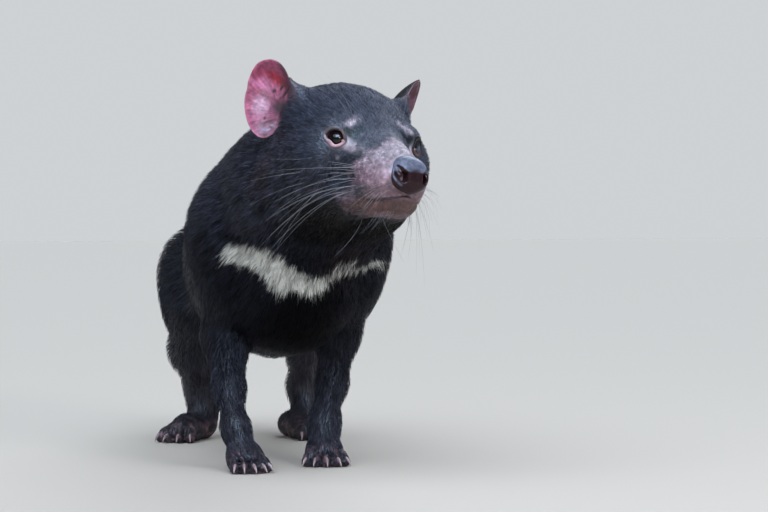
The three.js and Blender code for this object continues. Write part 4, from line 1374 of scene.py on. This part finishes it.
def unwrapped(p, part):
    """Places on an unwrap of the hide: the turn round the part's own axis across, and the way along it up."""
    if part == "head":
        q = to_head(p)
        return np.stack([np.arctan2(q[:, 0], q[:, 2] + 22) / (2 * math.pi) + 0.5, (q[:, 1] + 118) / 190], -1)
    if part in legs:
        balls = sorted(legs[part]["balls"], key=lambda ball: ball[0][2])
        heights = [ball[0][2] for ball in balls]
        x = p[:, 0] - np.interp(p[:, 2], heights, [ball[0][0] for ball in balls])
        y = p[:, 1] - np.interp(p[:, 2], heights, [ball[0][1] for ball in balls])
        return np.stack([np.arctan2(x, -y) / (2 * math.pi) + 0.5, p[:, 2] / 250], -1)
    if part == "tail":
        middle = np.array([10, 330, 110])
        along = np.arctan2(p[:, 1] - middle[1], p[:, 2] - middle[2]) / (2 * math.pi) + 0.5
        return np.stack([along, (p[:, 0] + 40) / 100], -1)
    return np.stack([np.arctan2(p[:, 0] - 4, p[:, 2] - 165) / (2 * math.pi) + 0.5, (p[:, 1] + 140) / 470], -1)


def locks(p, lie, size, seed):
    """The lock each root belongs to: the nearest of a lattice of strewn points, where nearness along the lie
    counts for less, so that locks are long. Gives the lock's middle and two random numbers of its own."""
    table = np.random.default_rng(seed).random((4096, 5))
    cell = np.floor(p / size).astype(np.int64)
    best = np.full(len(p), np.inf)
    found = np.zeros((len(p), 5))
    for corner in np.ndindex(3, 3, 3):
        near = cell + corner - 1
        entry = lattice_rows(table, near)
        gap = (near + entry[:, :3]) * size - p
        distance = (gap**2).sum(1) - 0.75 * (gap * lie).sum(1) ** 2
        closer = distance < best
        best = np.where(closer, distance, best)
        found = np.where(closer[:, None], np.concatenate([p + gap, entry[:, 3:]], 1), found)
    return found[:, :3], found[:, 3], found[:, 4]


def grow(name, part, chosen, count, seed, material, lock=4.0, speckle=0.0):
    """A coat piece: roots spread evenly by area over the chosen faces, each with the part's lie and sizes.
    The tufts of a lock lean together and share a height and a tone. There are a few long strays, and the
    muzzle is speckled with pale and dark hairs."""
    rng = np.random.default_rng(seed)
    weights = np.where(chosen & ~face_bare, face_areas, 0) * (1 + 1.6 * smooth(-face_centres[:, 2], -34, -20))
    count = count
    steps = (np.arange(count) + rng.random(count)) / count
    picked = np.searchsorted(np.cumsum(weights), steps * weights.sum())
    u, v = rng.random((2, count, 1))
    blend = [(1 - u) * (1 - v), u * (1 - v), u * v, (1 - u) * v]
    corners = skin_faces[picked]
    roots = sum(w * skin_points[corners[:, i]] for i, w in enumerate(blend))
    outward = unit(sum(w * skin_outward[corners[:, i]] for i, w in enumerate(blend)))
    length, width = tuft_sizes(roots, part)
    lie = unit(lie_of(roots, part))
    middle, rise, tone = locks(roots, lie, lock, seed + 1)
    sway = 0.20 * wander(roots, 14, seed) + 0.16 * wander(roots, 5, seed + 2)
    lie += sway + rng.normal(0, 0.07, roots.shape)
    colours = markings(roots + 0.5 * length[:, None] * lie if part == "head" else roots)
    on_band = smooth(colours[:, 1], 0.3, 0.6) * (part == "trunk")
    lie += (0.55 - 0.4 * on_band)[:, None] * (middle - roots) / length[:, None]
    length = length * rng.uniform(0.75, 1.1, count) * (0.9 + 0.25 * rise)
    length = length * (1 - 0.25 * on_band * rng.random(count))
    stray = rng.random(count) < 0.02
    length = np.where(stray, length * 1.3, length)
    height = coat_depth(roots) * rng.uniform(0.6, 1.0, count) * (0.65 + 0.7 * rise) + 0.45
    shade = np.exp(np.clip(rng.normal(0, 0.45, count) + 2.2 * (tone - 0.5), -2.5, 0.9))[:, None]
    plain = smooth(-colours.max(1, keepdims=True), -0.15, -0.05)
    colours = colours * (shade * [0.97, 1.0, 1.07]) ** (0.35 + 0.65 * plain)
    q = to_head(roots)
    speckled = speckle * smooth(-q[:, 1], 58, 76) * smooth(q[:, 2], -62, -50)
    draw = rng.random(count)
    colours = np.where((draw < 0.40 * speckled)[:, None], np.maximum(colours * 1.9, 0.14), colours)
    colours = np.where((draw > 1 - 0.24 * speckled)[:, None], colours * 0.22, colours)
    unwrap = unwrapped(roots, part)
    tufts(name, roots, outward, lie, length, width, height, colours, unwrap, seed, material)


on_trunk = (face_part == 0) & ~on_head
fore_trunk = face_centres[:, 1] < 25
left_side = face_centres[:, 0] > 4
head_left = face_head[:, 0] > 0
muzzle_faces = face_head[:, 1] < -62
throat = (face_centres[:, 2] < 245) & (face_outward[:, 1] < -0.55) & (face_outward[:, 2] < 0.1)
chest = (face_centres[:, 2] < 190) | throat
jaw = ~muzzle_faces & (face_head[:, 2] < -36) & (face_outward[:, 2] < 0.1)
crown = on_head & ~muzzle_faces & ~jaw
glossy = hair_material("guard_hair", 0.40, 0.38)
soft = hair_material("face_hair", 0.42, 0.45)
dull = hair_material("under_hair", 0.5, 0.14)
grow("coat_muzzle", "head", on_head & muzzle_faces, 17000, 101, soft, lock=1.6, speckle=1.0)
grow("coat_head_left", "head", crown & head_left, 11000, 102, soft, lock=2.4, speckle=1.0)
grow("coat_head_right", "head", crown & ~head_left, 18500, 103, soft, lock=2.4, speckle=1.0)
grow("coat_jaw", "head", on_head & jaw, 7000, 109, dull, lock=2.8)
grow("coat_chest", "trunk", on_trunk & fore_trunk & chest, 19500, 104, dull, lock=3.2)
grow("coat_neck", "trunk", on_trunk & fore_trunk & ~chest, 14000, 105, glossy, lock=3.2)
grow("coat_back_left", "trunk", on_trunk & ~fore_trunk & left_side, 9000, 106, glossy)
grow("coat_back_right", "trunk", on_trunk & ~fore_trunk & ~left_side, 11500, 107, glossy)
grow("coat_tail", "tail", (face_part == 1) & ~on_head, 4500, 108, glossy)
for index, (name, count) in enumerate(zip(legs, (13000, 11500, 7000, 5000))):
    grow("coat_" + name, name, (face_part == index + 2) & ~on_head, count, 110 + index, glossy, lock=2.8)

# Whiskers
# Long pale whiskers of stiff hair sweep back from rows on the muzzle, with
# shorter ones on brow, cheek, chin and throat.
WHISKER_STEPS = 14
WHISKER_SIDES = 4
rng = np.random.default_rng(7)
# Each bed of whiskers: how many a side has; the first and last root of the top row, on the left; how much
# lower each row is; the rows; the heading, the bend, and how much each changes in height from row to row; the
# shortest and the longest; and the thickness
whisker_beds = [
    (17, (28, -64, -23), (25, -78, -23), -4.4, 5, (0.62, 0.56, 0.02), -0.035, (0.02, 0.06, -0.08), -0.14,
     48, 86, 0.13),
    (12, (20, -90, -34), (13, -98, -33), -4, 3, (0.80, -0.25, -0.10), -0.2, (-0.1, 0.5, -0.25), -0.1,
     12, 30, 0.10),
    (2, (26, -56, 9), (20, -54, 17), 0, 1, (0.36, 0.22, 0.90), 0, (0.16, 0.40, -0.10), 0, 40, 54, 0.08),
    (4, (40, -38, -30), (36, -46, -40), -4, 2, (0.55, 0.50, -0.45), -0.2, (-0.10, 0.25, -0.35), -0.1,
     36, 62, 0.12),
    (8, (14, -86, -54), (4, -94, -53), 0, 1, (0.35, -0.10, -0.85), 0, (0.1, 0.45, -0.05), 0, 8, 22, 0.09),
    (1, (5, -60, -62), (7, -56, -63), 0, 1, (0.25, -0.10, -0.95), 0, (0.45, 0.30, -0.2), 0, 26, 30, 0.16),
]
whiskers = []
for bed in whisker_beds:
    count, first, last, row_drop, rows, direction, turn_down, bend, sag, shortest, longest, thickness = bed
    for s in BOTH:
        for number in range(count):
            row = number % rows
            share = (number // rows + rng.uniform(0.25, 0.75)) / math.ceil(count / rows)
            root = np.array(first) * (1 - share) + np.array(last) * share + (0, 0, row * row_drop)
            root = root + rng.normal(0, 0.8, 3)
            root = on_hide([root * (s, 1, 1)])[0] * (s, 1, 1)
            length = shortest + (longest - shortest) * (1 - share) * rng.uniform(0.6, 1)
            heading = unit(np.array(direction) + (0, 0, row * turn_down) + rng.normal(0, 0.09, 3))
            curl = (np.array(bend) + (0, 0, row * sag)) * rng.uniform(0.7, 1.3)
            t = np.linspace(0, 1, WHISKER_STEPS)[:, None]
            path = root - 0.8 * heading + length * (heading * t + curl * t**2)
            whiskers.append(tube(from_head(path * (s, 1, 1)), thickness * (1 - 0.8 * t[:, 0]), WHISKER_SIDES))
whisker_mesh = new_piece("whiskers", *joined(whiskers))
whisker_mesh.data.materials.append(surface_material("whisker", 0.35, 900, 0.0, base=(0.35, 0.36, 0.40),
                                                    mottling=0.2))

# Floor and light
# A plain pale floor under soft light: a broad sky above and in front, a narrower one behind, a window ahead
# that shows in the eyes, and a blue one that shows only as gloss on coat and nose.
floor_mesh = bpy.data.meshes.new("floor")
floor_mesh.from_pydata([(-9, -9, 0), (9, -9, 0), (9, 9, 0), (-9, 9, 0)], [], [(0, 1, 2, 3)])
floor = bpy.data.objects.new("floor", floor_mesh)
bpy.context.scene.collection.objects.link(floor)
floor_paint = bpy.data.materials.new("floor_paint")
floor_paint.use_nodes = True
floor_shader = floor_paint.node_tree.nodes["Principled BSDF"]
floor_shader.inputs["Base Color"].default_value = (0.64, 0.59, 0.54, 1)
floor_shader.inputs["Roughness"].default_value = 0.9
floor_shader.inputs["Specular IOR Level"].default_value = 0.1
floor.data.materials.append(floor_paint)


def panel(name, place, aim, wide, tall, watts, colour):
    """An oblong area light at a place, turned to face an aim point."""
    data = bpy.data.lights.new(name, "AREA")
    data.shape = "RECTANGLE"
    data.size = wide
    data.size_y = tall
    data.energy = watts
    data.color = colour
    lamp = bpy.data.objects.new(name, data)
    bpy.context.scene.collection.objects.link(lamp)
    back = np.array(place) - np.array(aim)
    lamp.location = place
    tilt = math.acos(back[2] / np.linalg.norm(back))
    lamp.rotation_euler = (tilt, 0, math.atan2(back[1], back[0]) + math.pi / 2)
    return lamp


panel("window", (0.75, -1.95, 0.95), (0, -0.19, 0.26), 0.8, 0.4, 12, (0.97, 0.98, 1.0))
sky_window = panel("sky_window", (-0.06, -1.44, 1.42), (0, -0.19, 0.26), 1.4, 0.75, 50, (0.38, 0.66, 1.0))
sky_window.visible_diffuse = False
for name, energy, spread, colour, tilt, turn in (("sky", 2.9, 75, (0.80, 0.90, 1.0), (28, -14), 0),
                                                 ("back", 0.95, 33, (0.85, 0.93, 1.0), (51, 0), 149)):
    data = bpy.data.lights.new(name, "SUN")
    data.energy = energy
    data.angle = math.radians(spread)
    data.color = colour
    lamp = bpy.data.objects.new(name, data)
    lamp.rotation_euler = (math.radians(tilt[0]), math.radians(tilt[1]), math.radians(turn))
    bpy.context.scene.collection.objects.link(lamp)
# The surround lights the animal dimly, and the camera sees it in the floor's own tone
world = bpy.data.worlds.new("surround")
world.use_nodes = True
nodes, links = world.node_tree.nodes, world.node_tree.links
shown = nodes["Background"]
shown.inputs["Color"].default_value = (0.617, 0.640, 0.655, 1)
shown.inputs["Strength"].default_value = 1.0
lighting = nodes.new("ShaderNodeBackground")
lighting.inputs["Color"].default_value = (0.80, 0.88, 1.0, 1)
lighting.inputs["Strength"].default_value = 0.20
seen = nodes.new("ShaderNodeLightPath")
either = nodes.new("ShaderNodeMixShader")
links.new(seen.outputs["Is Camera Ray"], either.inputs["Fac"])
links.new(lighting.outputs["Background"], either.inputs[1])
links.new(shown.outputs["Background"], either.inputs[2])
links.new(either.outputs["Shader"], nodes["World Output"].inputs["Surface"])
bpy.context.scene.world = world
bpy.context.scene.view_settings.view_transform = "Standard"
